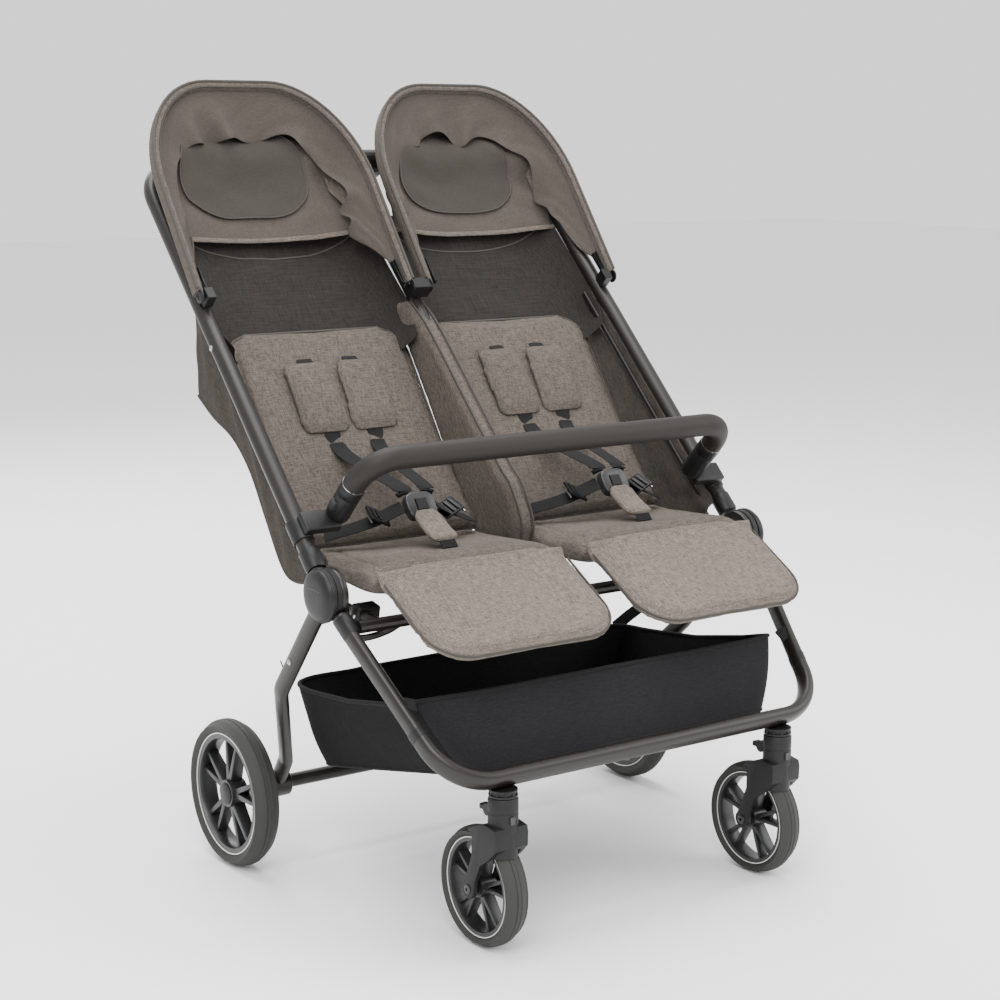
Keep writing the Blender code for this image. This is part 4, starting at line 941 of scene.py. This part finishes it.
def harness(side, sign):
    """Shoulder pads, webbing, crotch pad and the buckle's adjusters, for each seat."""
    origin, _, face = plane_frame(BACK_AXIS, BACK_ANGLE)
    x0 = sign * SEAT_X
    body = f"backrest_{side}"
    for s, label in ((-1, "outer"), (1, "inner")):
        def shape(u, v, w, s=s):
            half = 0.0400 - 0.003 * (v > 0) * v
            squeeze = (1 - abs(v) ** 9 * 0.13)
            along = 0.232 + v * 0.0590 * (1 - abs(u) ** 9 * 0.07)
            across = s * 0.0415 + u * half * squeeze + v * 0.002 * s
            lift = 0.0205 + w * 0.0052 * (1 - 0.5 * max(abs(u), abs(v)) ** 6)
            lift += 0.0025 * math.sin(math.pi * (v + 1) / 2)
            return on_back(x0 + across, along, lift)

        pad = padding(f"shoulder_pad_{label}_{side}", 10, shape, cap=0.002, pressure=2.0)
        refine(pad)
        ring = []
        for k in range(33):
            turn = 2 * math.pi * k / 32
            c, q = swell(math.cos(turn), 0.45), swell(math.sin(turn), 0.45)
            ring.append(on_back(x0 + s * 0.0415 + c * 0.0330, 0.232 + q * 0.0520, 0.0285))
        press_seams(pad, [ring], 0.0014, 0.0018, normal=tuple(face))
        # the shoulder pads take the back cloth, with its painted shade
        settle(pad, body, PAINTED_SHADE_BACK, angle=70)
        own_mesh(pad)
        # webbing from the pad's lower end to the buckle
        top = on_back(x0 + s * 0.036, 0.185, 0.0215)
        middle = on_back(x0 + s * 0.031, 0.140, 0.0270)
        low = at(x0 + s * 0.019, -0.098, 0.541)
        belt = swept(f"shoulder_webbing_{label}_{side}",
            smooth_path([top, middle, low + Vector((0, 0.004, 0.006)), low], 8),
            0.0125, 0.0009, tuple(face), 16, power=0.5)
        settle(belt, body, WEBBING)
        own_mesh(belt)
        upper = on_back(x0 + s * 0.037, 0.286, 0.0200)
        slot_end = on_back(x0 + s * 0.037, 0.302, 0.0120)
        tail = swept(f"shoulder_webbing_top_{label}_{side}", [upper, upper.lerp(slot_end, 0.6), slot_end],
            0.0125, 0.0010, tuple(face), 16, power=0.5)
        settle(tail, body, WEBBING)
        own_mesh(tail)
        # hip webbing from the seat's side to the buckle, and its adjuster
        hip = at(x0 + s * 0.118, -0.062, 0.4850)
        bend = at(x0 + s * 0.070, -0.092, 0.5020)
        lock = at(x0 + s * 0.026, -0.112, 0.5230)
        belt = swept(f"hip_webbing_{label}_{side}", smooth_path([hip, bend, lock], 10), 0.0125, 0.0009,
            lambda p: Vector((0, -0.45, 0.89)), 16, power=0.5)
        settle(belt, "front_frame", WEBBING)
        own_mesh(belt)
        place = at(x0 + s * 0.057, -0.099, 0.5090)
        tilt = math.degrees(math.atan2(0.021, 0.044)) * s
        frame_piece = block("adjuster", (0, 0, 0), (0.030, 0.032, 0.0050), 0.0014, 0, 3, 0.0035,
            -0.0022, (0, 0, 1))
        bars = [block("bar", (0, q, 0.0022), (0.024, 0.0030, 0.0022), 0.0008, 0, 2) for q in (-0.0080,
            0.0, 0.0080)]
        for part in [frame_piece] + bars:
            part.data.transform(Matrix.Translation(place + Vector((0, -0.001, 0.0035)))
                @ Matrix.Rotation(math.radians(-tilt), 4, "Y")
                @ Matrix.Rotation(math.radians(27), 4, "X") @ Matrix.Rotation(math.radians(90), 4, "Z"))
            settle(part, "front_frame", ABS)
        merge(frame_piece, *bars).name = f"hip_adjuster_{label}_{side}"
        trim = block("trim", (0, 0, 0), (0.0022, 0.030, 0.0026), 0.0006, 0, 2)
        trim.data.transform(Matrix.Translation(place + Vector((s * 0.015, -0.001, 0.0045)))
            @ Matrix.Rotation(math.radians(-tilt), 4, "Y") @ Matrix.Rotation(math.radians(27), 4, "X"))
        trim.name = f"hip_adjuster_edge_{label}_{side}"
        settle(trim, "front_frame", STEEL)

    # crotch strap in its padded sleeve
    def sleeve(u, v, w):
        t = (v + 1) / 2
        y = -0.182 + 0.056 * t
        z = 0.486 + 0.028 * t ** 1.6
        half = 0.0225 * (1 - 0.18 * abs(v) ** 5)
        normal = Vector((0, -0.35, 0.94))
        return at(x0 + u * half * (1 - 0.06 * abs(v) ** 6), y,
            z) + normal * (w * 0.0050 * (1 - 0.45 * abs(u) ** 6) + 0.003)

    pad = padding(f"crotch_pad_{side}", 10, sleeve, cap=0.002, pressure=2.0)
    refine(pad)
    # the crotch pad takes the leg rests' cloth, with its painted light
    settle(pad, "front_frame", PAINTED_LIGHT_REST, angle=70)
    settle(swept(f"crotch_webbing_{side}", smooth_path([at(x0, -0.188, 0.478), at(x0, -0.176, 0.489),
        at(x0, -0.138, 0.506), at(x0, -0.131, 0.510)], 8),
        0.0125, 0.0010, lambda p: Vector((0, -0.4, 0.9)), 16, power=0.5), "front_frame", WEBBING)
    # the buckle's shell stands round the CAD button
    y, z = -0.115, 0.522
    tilt = BACK_ANGLE - 90
    outline = []
    for k in range(32):
        turn = 2 * math.pi * k / 32
        outline.append((0.0225 * swell(math.cos(turn), 0.55), 0.0195 * swell(math.sin(turn), 0.6)))
    facing = way(145)
    frame_of = (at(x0, y, z), Vector((1, 0, 0)), facing.cross(Vector((1, 0, 0))), facing)
    shell = cut_out("shell", outline, -0.0072, 0.0066, 0.0022, frame_of)
    hole = block("hole", at(x0, y, z) + facing * 0.0075, (0.0186, 0.0098, 0.0186), 0.0002, tilt, 1)
    carve(shell, hole)
    shell.name = f"buckle_shell_{side}"
    settle(shell, "front_frame", BUTTON, [f"harness_buckle_{side}"])


def divider():
    """The fabric wall between the seats, sewn round the middle tube, with a piped ridge."""
    low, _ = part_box("center_spine")
    down = Vector((0, low.y + 0.0067, low.z + 0.0067))
    top = Vector((0, 0.105 + SHIFT, down.z + 0.105 + SHIFT - down.y))
    lift = way(135) * 0.0125
    ridge = smooth_path([at(0, -0.128, 0.452), at(0, -0.134, 0.486), down + way(180) * 0.010 + lift * 0.6,
        down + way(45) * 0.03 + lift, down.lerp(top, 0.5) + lift, top + lift,
        top + way(45) * 0.062 + lift * 0.25], 8)
    base_line = smooth_path([at(0, -0.090, 0.446), at(0, -0.050, 0.447), at(0, -0.025, 0.455),
        at(0, 0.020, 0.515),
        at(0, 0.075, 0.600), at(0, 0.125, 0.670), at(0, 0.172, 0.738), at(0, 0.196, 0.772)], 6)
    count = len(ridge)

    def shape(u, v, w):
        i = (v + 1) / 2 * (count - 1)
        k = min(int(i), count - 2)
        top = ridge[k].lerp(ridge[k + 1], i - k)
        j = (v + 1) / 2 * (len(base_line) - 1)
        m = min(int(j), len(base_line) - 2)
        low = base_line[m].lerp(base_line[m + 1], j - m)
        t = (w + 1) / 2
        half = 0.0172 - 0.0047 * t
        place = low.lerp(top, t)
        return place + Vector((u * half * (1 - 0.30 * max(0.0, (t - 0.9) / 0.1) ** 2), 0, 0))

    wall = padding("seat_divider", 20, shape, cap=0.0025, pressure=1.5)
    refine(wall)
    # the divider takes the back cloth, with its painted shade
    settle(wall, "upper_frame", PAINTED_SHADE_BACK, angle=70)
    crumple(wall)
    for s in (-1, 1):
        line = [p + Vector((s * 0.0098, 0.0004, -0.0006)) for p in ridge]
        cord = swept(f"divider_piping_{'left' if s < 0 else 'right'}", line, 0.0017, 0.0017, (1, 0, 0), 10)
        settle(cord, "upper_frame", PIPING)
        crumple(cord)


# ------------------------------------------------------------------ hoods
def arch(half, rise, corner, foot, steps=14, rows=14):
    """(across, up) points of a rounded arch, evenly spread up its legs too; corners are taller than wide."""
    tall = corner * 1.4
    left = [(-half, foot + (rise - tall - foot) * k / rows) for k in range(rows)]
    curve = []
    for k in range(steps + 1):
        turn = math.pi - math.pi / 2 * k / steps
        curve.append((-half + corner + corner * math.cos(turn), rise - tall + tall * math.sin(turn)))
    top = [(-half + corner + (2 * half - 2 * corner) * k / 10, rise) for k in range(1, 6)]
    side = left + curve + top
    return side + [(-a, u) for a, u in reversed(side[:-1])]


def hood_at(side, a, u, d):
    return at(SIDES[side] * HOOD_X + a, *HOOD_AXIS) + way(HOOD_ANGLE) * u + way(HOOD_ANGLE - 90) * d


def ruffle(point, scale, strength):
    """A small steady wander of cloth, the same every time."""
    return noise.noise(point * scale) * strength


def grid(name, rows, flip=False):
    """A sheet through rows of points."""
    width = len(rows[0])
    points = [p for row in rows for p in row]
    faces = []
    for r in range(len(rows) - 1):
        for c in range(width - 1):
            a = r * width + c
            quad = (a, a + 1, a + width + 1, a + width)
            faces.append(quad[::-1] if flip else quad)
    return sewn(name, points, faces)


def thicken(thing, thickness, offset=0.0, levels=1):
    wall = thing.modifiers.new("wall", "SOLIDIFY")
    wall.thickness = thickness
    wall.offset = offset
    if levels:
        smooth = thing.modifiers.new("smooth", "SUBSURF")
        smooth.levels = levels
        smooth.render_levels = levels
    apply_all(thing)


LAYERS = [(0.0005, 0.1740, 0.3565, 0.125, 0.012), (0.009, 0.1750, 0.3580, 0.125, 0.014),
    (0.016, 0.1705, 0.3565, 0.121, 0.050), (0.028, 0.1560, 0.3535, 0.112, 0.110),
    (0.040, 0.1410, 0.3490, 0.103, 0.160), (0.050, 0.1280, 0.3430, 0.096, 0.200)]


def layer_between(t):
    """Depth, half width, rise, corner and foot of the hood's section, t from brim to back."""
    i = t * (len(LAYERS) - 1)
    k = min(int(i), len(LAYERS) - 2)
    return [a + (b - a) * (i - k) for a, b in zip(LAYERS[k], LAYERS[k + 1])]


def hoods(side, sign):
    seed = Vector((3.1 * sign, 1.7, 0.0))
    rows = []
    for r in range(19):
        t = r / 18
        d, half, rise, corner, foot = layer_between(t)
        row = []
        line = arch(half, rise, corner, foot)
        for i, (a, u) in enumerate(line):
            s = abs(i / (len(line) - 1) * 2 - 1)
            out = Vector((a, u - rise * 0.55)).normalized()
            pull = ruffle(Vector((a, u, d * 2.2)) + seed, 26, 0.0034 * min(1, t * 4))
            pull += 0.0022 * math.sin(d * 330 + a * 14 + sign) * min(1, t * 3) * (1 - t * 0.4)
            sag = 0.0045 * math.sin(math.pi * t) * (1 - s) ** 0.5
            row.append(hood_at(side, a + out.x * (pull - sag), u + out.y * (pull - sag), d))
        rows.append(row)
    shell = grid(f"hood_shell_{side}", rows)
    thicken(shell, 0.0026, -1.0)
    settle(shell, None, HOOD_CLOTH, [f"hood_{side}"], angle=60)
    opens = {"a": "upper_frame", "b": f"hood_{side}", "start": tuple(hood_at(side, 0, 0.2, 0.050)),
        "end": tuple(hood_at(side, 0, 0.2, 0.004))}
    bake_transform(shell)

    line = arch(0.1712, 0.3535, 0.1225, 0.006)
    settle(swept(f"hood_brim_{side}", [hood_at(side, a, u, 0.0035) for a, u in line], 0.0062, 0.0098,
        tuple(way(HOOD_ANGLE - 90)), 20, power=0.7), f"hood_{side}", HOOD_CLOTH, angle=60)
    settle(swept(f"hood_piping_{side}", [hood_at(side, a * 1.022, u + 0.0032, -0.0062) for a,
        u in line], 0.0023, 0.0023,
        tuple(way(HOOD_ANGLE - 90)), 12), f"hood_{side}", PIPING)
    line = arch(0.1702, 0.3525, 0.1215, 0.020)
    settle(swept(f"hood_brim_seam_{side}", [hood_at(side, a * 0.975, u - 0.0042, -0.0035) for a,
        u in line], 0.0008, 0.0012,
        tuple(way(HOOD_ANGLE - 90)), 8), f"hood_{side}", PIPING)

    # back lining, gathered into its arch, with a soft window panel
    def lining_point(u, v, lift=0.0):
        foot, top = 0.128, 0.3425
        up = foot + (top - foot) * v
        half = 0.1375
        tall, wide = 0.125, 0.085
        if up > top - tall:
            k = (up - (top - tall)) / tall
            half -= wide * (1 - math.sqrt(max(0.0, 1 - k * k * 0.985)))
        half += 0.020 * (1 - v) ** 2
        edge = abs(u)
        depth = 0.049 + 0.020 * (1 - u * u) * (0.35 + 0.65 * (1 - v) ** 0.7) * (1 - v ** 8)
        # the handle grip crosses behind the lining here
        depth -= 0.018 * math.exp(-((v - 0.63) / 0.16) ** 2)
        folds = 0.0034 * math.sin(v * 24 + 5 * u * u + sign * 1.3) * edge ** 3
        folds += 0.0030 * math.sin(u * 17 + sign + 2 * v) * max(0.0, v - 0.55) / 0.45
        folds += ruffle(Vector((u * 0.10, v * 0.2, 0.0)) + seed, 34, 0.0045 * (0.35 + edge))
        tent = 0.006 * math.exp(-((edge - 0.78) / 0.12) ** 2 - ((v - 0.86) / 0.14) ** 2)
        return hood_at(side, u * half, up, depth + folds - tent - lift)

    rows = [[lining_point(c / 30 * 2 - 1, r / 30) for c in range(31)] for r in range(31)]
    back = grid(f"hood_lining_{side}", rows, flip=True)
    thicken(back, 0.0020)
    settle(back, "upper_frame", HOOD_LINING, angle=60)

    rows = []
    for r in range(23):
        row = []
        for c in range(23):
            a, b = c / 22 * 2 - 1, r / 22 * 2 - 1
            ra = a * max(0.0, 1 - 0.26 * b ** 4) ** 0.8
            rb = b * max(0.0, 1 - 0.26 * a ** 4) ** 0.8
            row.append(lining_point(ra * 0.72 - 0.06, 0.53 + rb * 0.36, 0.0050))
        rows.append(row)
    window = grid(f"hood_window_{side}", rows, flip=True)
    rim_line = [rows[0][c] for c in range(22)] + [rows[r][22] for r in range(22)] \
        + [rows[22][c] for c in range(22, 0, -1)] + [rows[r][0] for r in range(22, 0, -1)]
    thicken(window, 0.0012)
    settle(window, "upper_frame", WINDOW_CLOTH, angle=60)
    settle(swept(f"hood_window_welt_{side}", rim_line, 0.0013, 0.0011, tuple(way(HOOD_ANGLE - 90)), 8,
        closed=True), "upper_frame", PIPING)

    # gathered valance under the roof, behind the brim
    rows = []
    for r in range(9):
        t = r / 8
        line = arch(0.1665 - 0.034 * t, 0.3485 - 0.050 * t, 0.118 - 0.030 * t, 0.022 + 0.090 * t, 18, 16)
        row = []
        for i, (a, u) in enumerate(line):
            q = i / (len(line) - 1)
            fold = 0.0028 * math.sin(q * 30 + 2 * math.sin(q * 9 + sign)) * t
            fold += ruffle(Vector((q * 1.6, t * 0.15, sign)), 9, 0.009) * t ** 0.7
            peak = sum(math.exp(-((q - place) / 0.022) ** 2) for place in (0.37, 0.50 + 0.04 * sign,
                0.66)) * t * t
            draw = 0.050 * math.exp(-((q - 0.5) / 0.22) ** 2) * t * 0.3
            out = Vector((a, u - 0.19)).normalized()
            inward = fold * 0.9 + 0.010 * peak + draw
            row.append(hood_at(side, a - out.x * inward, u - out.y * inward,
                0.005 + 0.030 * t + fold * 1.8 - 0.010 * peak + 0.003 * math.sin(q * 90 + 14 * t) * t * (1 - t) * 2))
        rows.append(row)
    valance = grid(f"hood_valance_{side}", rows)
    thicken(valance, 0.0016)
    settle(valance, None, HOOD_LINING, angle=60)
    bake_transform(valance)

    hem = [lining_point(c / 30 * 2 - 1, 0.0, 0.002) for c in range(31)]
    settle(swept(f"hood_lining_hem_{side}", hem, 0.0040, 0.0014, tuple(way(HOOD_ANGLE - 90)), 12,
        power=0.7), "upper_frame", SEAT_FLAT)

    # flat bows fanned at the pivots, and the pivots' round caps
    for s, label in ((-1, "west"), (1, "east")):
        x = sign * HOOD_X + s * 0.1625
        pivot = at(x, *HOOD_AXIS)
        blades = []
        for k, angle in enumerate((HOOD_ANGLE - 3, HOOD_ANGLE - 9)):
            line = [pivot + Vector((s * -0.0024 * (k + 1), 0, 0)) + way(angle) * r for r in (0.004,
                0.02, 0.034, 0.046)]
            blade = swept("blade", line, 0.0040, 0.0009, (1, 0, 0), 12, power=0.6)
            settle(blade, "upper_frame", ABS)
            blades.append(blade)
        merge(*blades).name = f"hood_bow_fan_{label}_{side}"
        settle(turned(f"hood_pivot_cap_{label}_{side}",
            [(0.0, 0.0), (0.0100, 0.0), (0.0105, s * 0.0008), (0.0100, s * 0.0024), (0.0060, s * 0.0032),
            (0.0052, s * 0.0026), (0.0, s * 0.0026)],
            at(sign * HOOD_X + s * 0.1690 + s * 0.0012, *HOOD_AXIS), 36, ring=False), f"hood_{side}", ABS)


def under_seat(side, sign):
    """Folding links and the latch under each seat's outer edge."""
    flip = Vector((sign, 1, 1))
    path = smooth_path([at(0.318, -0.170, 0.418) * flip, at(0.312, -0.168, 0.392) * flip,
        at(0.300, -0.176, 0.372) * flip,
        at(0.262, -0.196, 0.384) * flip, at(0.236, -0.206, 0.412) * flip,
        at(0.228, -0.208, 0.436) * flip], 6)
    settle(swept(f"seat_link_{side}", path, 0.0046, 0.0046, (0, 1, 0), 16), "front_frame", PAINT)
    settle(block(f"seat_latch_{side}", at(0.292, -0.178, 0.404) * flip, (0.034, 0.022, 0.026), 0.004,
        12, 4, 0.005, -0.0015, (0, -1, 0)), "front_frame", NYLON)
    settle(turned(f"seat_latch_pin_{side}", [(0.0, 0.0), (0.0045, 0.0), (0.0045, sign * 0.0010),
        (0.0030, sign * 0.0022), (0.0, sign * 0.0024)],
        at(sign * 0.3092, -0.178, 0.404), 24, ring=False), "front_frame", STEEL)


def hood_bows(side, sign):
    line = arch(0.1675, 0.351, 0.119, 0.0)
    settle(swept(f"hood_bow_drawn_{side}", [hood_at(side, a, u, 0.0) for a, u in line], 0.0015, 0.00425,
        tuple(way(HOOD_ANGLE - 90)), 16, power=0.6), f"hood_{side}", ABS,
        [f"hood_bow_{side}"])


# ------------------------------------------------------------------ walls, back, basket
def tube_line(y):
    return 0.438 + (y + 0.183) / 0.528 * 0.529


def walls(side, sign):
    low = [(-0.140, 0.464), (-0.105, 0.438), (-0.055, 0.428), (-0.022, 0.442), (0.020, 0.500), (0.062, 0.560),
        (0.110, 0.600), (0.165, 0.622), (0.212, 0.648)]
    low = smooth_path([Vector((0, y, z)) for y, z in low], 5)
    count = len(low)
    rows = []
    for r in range(17):
        t = r / 16
        row = []
        for i in range(count):
            f = i / (count - 1)
            y = -0.140 + 0.365 * f
            top = Vector((0, y, tube_line(y) - 0.002))
            p = top.lerp(low[i], t)
            x = 0.3375 - 0.0125 * min(1.0, t * 2.2) + 0.0060 * math.sin(math.pi * t) * math.sin(math.pi * f)
            x += ruffle(Vector((p.y, p.z, sign * 2.0)), 30, 0.0042) * math.sin(math.pi * t) ** 0.5
            x += 0.0016 * math.sin(f * 34 + t * 5) * t * (1 - t) * 4
            row.append(at(sign * x, p.y, p.z))
        rows.append(row)
    wall = grid(f"side_wall_{side}", rows)
    thicken(wall, 0.0022)
    # the wall cloth has painted shade: its colours are a much darker copy of the seat cloth
    settle(wall, "upper_frame", PAINTED_DEEP_SHADE_WALL, [f"seat_side_{side}"], angle=60)
    crumple(wall)
    edge = swept(f"side_wall_hem_{side}", rows[-1], 0.0022, 0.0022, (1, 0, 0), 10)
    settle(edge, "upper_frame", PIPING)
    crumple(edge)
    # slim rail sewn inside the wall's top edge, parallel to the tube, with its rivet
    settle(swept(f"side_rail_{side}", [at(sign * 0.3300, -0.128, tube_line(-0.128) - 0.020),
        at(sign * 0.3262, 0.165, tube_line(0.165) - 0.020)],
        0.0045, 0.0022, (1, 0, 0), 14, power=0.7), "upper_frame", PAINT)
    settle(turned(f"side_tube_rivet_{side}", [(0.0, 0.0), (0.0040, 0.0), (0.0040, sign * 0.0008),
        (0.0026, sign * 0.0018),
        (0.0, sign * 0.0020)], at(sign * 0.3590, 0.105, tube_line(0.105)), 24, ring=False), "upper_frame",
        STEEL)


def upper_backs(side, sign):
    rows = []
    for r in range(17):
        t = -0.22 + 1.22 * r / 16
        row = []
        for c in range(31):
            u = math.sin((c / 30 * 2 - 1) * math.pi / 2)
            x = 0.1725 + u * (0.1655 - 0.008 * max(0.0, t) + 0.08 * min(0.0, t))
            edge_y, edge_z = 0.140 + 0.145 * t, tube_line(0.140 + 0.145 * t) - 0.006
            sink = (0.046 - 0.018 * max(0.0, t)) * (1 - abs(u) ** (12 - 9 * max(0.0, t)))
            sink += ruffle(Vector((u * 0.16, t * 0.2, sign)), 22, 0.005) * (1 - abs(u)) ** 0.5
            row.append(at(sign * x, edge_y + sink * 0.707, edge_z - sink * 0.707))
        rows.append(row)
    panel = grid(f"upper_back_mesh_{side}", rows, flip=sign < 0)
    thicken(panel, 0.0014)
    settle(panel, "upper_frame", MESH_CLOTH, ["upper_back"] if side == "right" else (),
        angle=60)
    crumple(panel)
    seam = []
    for c in range(31):
        u = math.sin((c / 30 * 2 - 1) * math.pi / 2)
        t = 0.74 + 0.14 * (u * u)
        r = t * 16
        k = min(int(r), 15)
        seam.append(rows[k][c].lerp(rows[k + 1][c], r - k) + way(135) * 0.0012)
    cord = swept(f"upper_back_seam_{side}", seam, 0.0014, 0.0010, tuple(way(135)), 8)
    settle(cord, "upper_frame", PIPING)
    crumple(cord)


def sink(piece):
    """Gives a piece of the basket's cloth its own mesh."""
    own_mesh(piece)


def basket():
    def loop(t, shrink=1.0, drop=0.0, count=96):
        points = []
        yf, yr = -0.370 + 0.044 * t, 0.020 + 0.015 * t
        zf, zr = 0.229 + 0.091 * t, 0.140 + 0.124 * t
        wf, wr = 0.258 + 0.051 * t, 0.256 + 0.038 * t
        for k in range(count):
            turn = 2 * math.pi * k / count
            cx, cy = (swell(c, 0.22) * shrink for c in (math.cos(turn), math.sin(turn)))
            f = (cy + 1) / 2
            y = yf + (yr - yf) * f
            x = cx * (wf + (wr - wf) * f)
            z = zf + (zr - zf) * f - drop
            bulge = 0.006 * math.sin(math.pi * t)
            x += cx * bulge
            if t > 0.85:
                z -= 0.012 * (t - 0.85) / 0.15 * abs(cx) ** 8 * math.sin(math.pi * f)
            wander = ruffle(Vector((x, y, z)), 16, 0.0042)
            points.append(at(x + cx * wander, y + cy * wander * 0.7 * (f > 0.2), z + wander * 0.3))
        return points

    rows = [loop(0, s, 0.010 * math.cos(math.pi / 2 * s)) for s in (0.02, 0.2, 0.4, 0.6, 0.8, 0.93)]
    rows += [loop(t) for t in (0.0, 0.04, 0.12, 0.25, 0.4, 0.55, 0.7, 0.85, 0.93, 1.0)]
    count = len(rows[0])
    points = [p for row in rows for p in row]
    faces = [tuple(range(count))[::-1]]
    for r in range(len(rows) - 1):
        for k in range(count):
            m = (k + 1) % count
            faces.append((r * count + k, r * count + m, (r + 1) * count + m, (r + 1) * count + k))
    shell = sewn("basket_cloth", points, faces)
    thicken(shell, 0.0022)
    settle(shell, "front_frame", BASKET, ["basket"], angle=60)
    shell.data.materials.append(BASKET_NET)
    for polygon in shell.data.polygons:
        if not (polygon.normal.y < -0.55 or (polygon.normal.y > 0.55 and polygon.center.y < -0.2)):
            polygon.material_index = 1
    sink(shell)
    rim_line = [p + Vector((0, 0, 0.001)) for p in loop(1.0)]
    cord = swept("basket_rim", rim_line, 0.0030, 0.0030, (0, 0, 1), 12, closed=True)
    settle(cord, "front_frame", WEBBING)
    sink(cord)
    binding = swept("basket_floor_binding", loop(0.03), 0.0026, 0.0022, (0, 0, 1), 10, closed=True)
    settle(binding, "front_frame", WEBBING)
    sink(binding)
    for side, sign in SIDES.items():
        for label, a, b in (("rear", at(sign * 0.290, 0.030, 0.262), at(sign * 0.318, -0.004, 0.300)),
                ("front", at(sign * 0.306, -0.318, 0.316), at(sign * 0.3275, -0.318, 0.322))):
            strap = swept(f"basket_strap_{label}_{side}", [a, a.lerp(b, 0.5) + Vector((0, 0, 0.001)), b],
                0.0090, 0.0010,
                (0, 0.7, -0.7), 14, power=0.5)
            settle(strap, "front_frame", WEBBING)
            sink(strap)


# ------------------------------------------------------------------ bumper bar
def bumper():
    out = way(134)
    base = at(0.302, -0.126, 0.527)
    flip = Vector((-1, 1, 1))
    start = base + out * 0.0455
    corner = start + out * 0.068
    path = rounded([start * flip, corner * flip, corner, start], 0.045, 16)
    settle(swept("bumper_bar_wrapped", path, 0.0158, 0.0158, out.cross(Vector((1, 0, 0))), 36),
        "bumper_bar", LEATHER, ["bumper_bar"])
    settle(swept("bumper_bar_seam", [p - out * 0.0157 for p in path[4:-4]], 0.0007, 0.0005, tuple(out), 8),
        "bumper_bar", PIPING)
    for side, sign in SIDES.items():
        here = Vector((sign, 1, 1))
        settle(swept(f"bumper_collar_{side}", [start * here + out * r for r in (0.0, 0.0012, 0.0160,
            0.0172)], 0.0166, 0.0166,
            (1, 0, 0), 36, scale=lambda t: (0.95, 1.0, 1.0, 0.96)[round(t * 3)]), "bumper_bar", ABS)
        settle(swept(f"bumper_collar_line_{side}", [start * here + out * r for r in (0.0172, 0.0186)],
            0.01625, 0.01625,
            (1, 0, 0), 36), "bumper_bar", STEEL)
        foot = base * here
        socket = swept("socket", [foot + out * r for r in (-0.002, 0.0, 0.004, 0.0430, 0.0448)], 0.0162,
            0.0162, (1, 0, 0), 36,
            scale=lambda t: (0.80, 0.93, 1.0, 1.0, 0.96)[round(t * 4)])
        y = -0.114
        tube = (at(0, *HANDLE) - at(0, *FOLD)).normalized()
        face = Vector((0, -tube.z, tube.y))
        seat = at(sign * 0.329, y, tube_line(y)) + face * 0.0193
        arm = block("arm", seat, (0.054, 0.030, 0.0135), 0.0030, 45, 4)
        for part in (socket, arm):
            settle(part, "upper_frame", ABS)
        mount = merge(socket, arm)
        mount.name = f"bumper_mount_moulded_{side}"
        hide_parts(f"bumper_mount_{side}")
        settle(swept(f"bumper_mount_clamp_{side}", [at(sign * 0.3509, y,
            tube_line(y)) + tube * r for r in (-0.016, -0.014, 0.014, 0.016)],
            0.0146, 0.0146, (1, 0, 0), 32, scale=lambda t: (0.95, 1.0, 1.0, 0.95)[round(t * 3)]),
            "upper_frame", ABS)


def small_nodes():
    """Moulded CAD pieces whose shape is right get their finish."""
    finishes = {"seat_front_rail": PAINT, "seat_frame_tube": PAINT, "rear_crossbar": PAINT,
        "center_spine": PAINT,
        "handle_grip_left": LEATHER, "handle_grip_right": LEATHER, "fold_housing": ABS, "fold_trigger": NYLON,
        "fold_lock_slider": BUTTON, "brake_pedal": NYLON, "hinge_hub_left": NYLON, "hinge_hub_right": NYLON,
        "hood_mount_left": ABS, "hood_mount_right": ABS, "hood_mount_center": ABS,
        "caster_release_left": BUTTON, "caster_release_right": BUTTON, "swivel_lock_left": ABS,
        "swivel_lock_right": ABS, "buckle_button_left": ABS, "buckle_button_right": ABS,
        "bumper_button_left": BUTTON, "bumper_button_right": BUTTON}
    for node in frame["nodes"].values():
        node.data.materials.clear()
        node.data.materials.append(finishes.get(node.name, ABS))


def studio():
    bpy.ops.object.select_all(action="DESELECT")
    bpy.ops.mesh.primitive_plane_add(size=30, location=(0, 0, 0))
    floor = bpy.context.active_object
    floor.name = "studio_floor"
    floor.data.materials.append(FLOOR)
    world = bpy.data.worlds.new("studio")
    bpy.context.scene.world = world
    world.use_nodes = True
    world.node_tree.nodes["Background"].inputs["Color"].default_value = (1, 1, 1, 1)
    world.node_tree.nodes["Background"].inputs["Strength"].default_value = 1.35
    for name, place, size, power in (("key", (-2.2, -2.6, 3.4), 2.4, 170),
            ("fill", (2.8, -2.2, 2.2), 2.6, 75),
            ("top", (0.0, 0.4, 3.6), 2.6, 150), ("back", (0.5, 3.0, 2.6), 2.0, 90)):
        lamp = bpy.data.lights.new(name, "AREA")
        lamp.shape = "SQUARE"
        lamp.size = size
        lamp.energy = power
        thing = bpy.data.objects.new(name, lamp)
        thing.location = place
        aim = Vector((0, 0, 0.5)) - thing.location
        thing.rotation_euler = aim.to_track_quat("-Z", "Y").to_euler()
        bpy.context.scene.collection.objects.link(thing)
    lens = bpy.data.cameras.new("camera")
    lens.lens = 73.45
    lens.sensor_width = 36
    camera = bpy.data.objects.new("camera", lens)
    camera.location = at(-1.6432, -2.3683, 1.0231)
    camera.rotation_euler = (math.radians(90 - 10.36), -0.0034, math.radians(-35.5))
    bpy.context.scene.collection.objects.link(camera)
    bpy.context.scene.camera = camera


small_nodes()
studio()
frame_tubes()
both_sides(hinge_covers)
both_sides(wheels)
both_sides(casters)
bumper()
leg_rests()
seat_cushions()
backrests()
both_sides(harness)
divider()
both_sides(hoods)
both_sides(hood_bows)
both_sides(under_seat)
both_sides(walls)
both_sides(upper_backs)
basket()
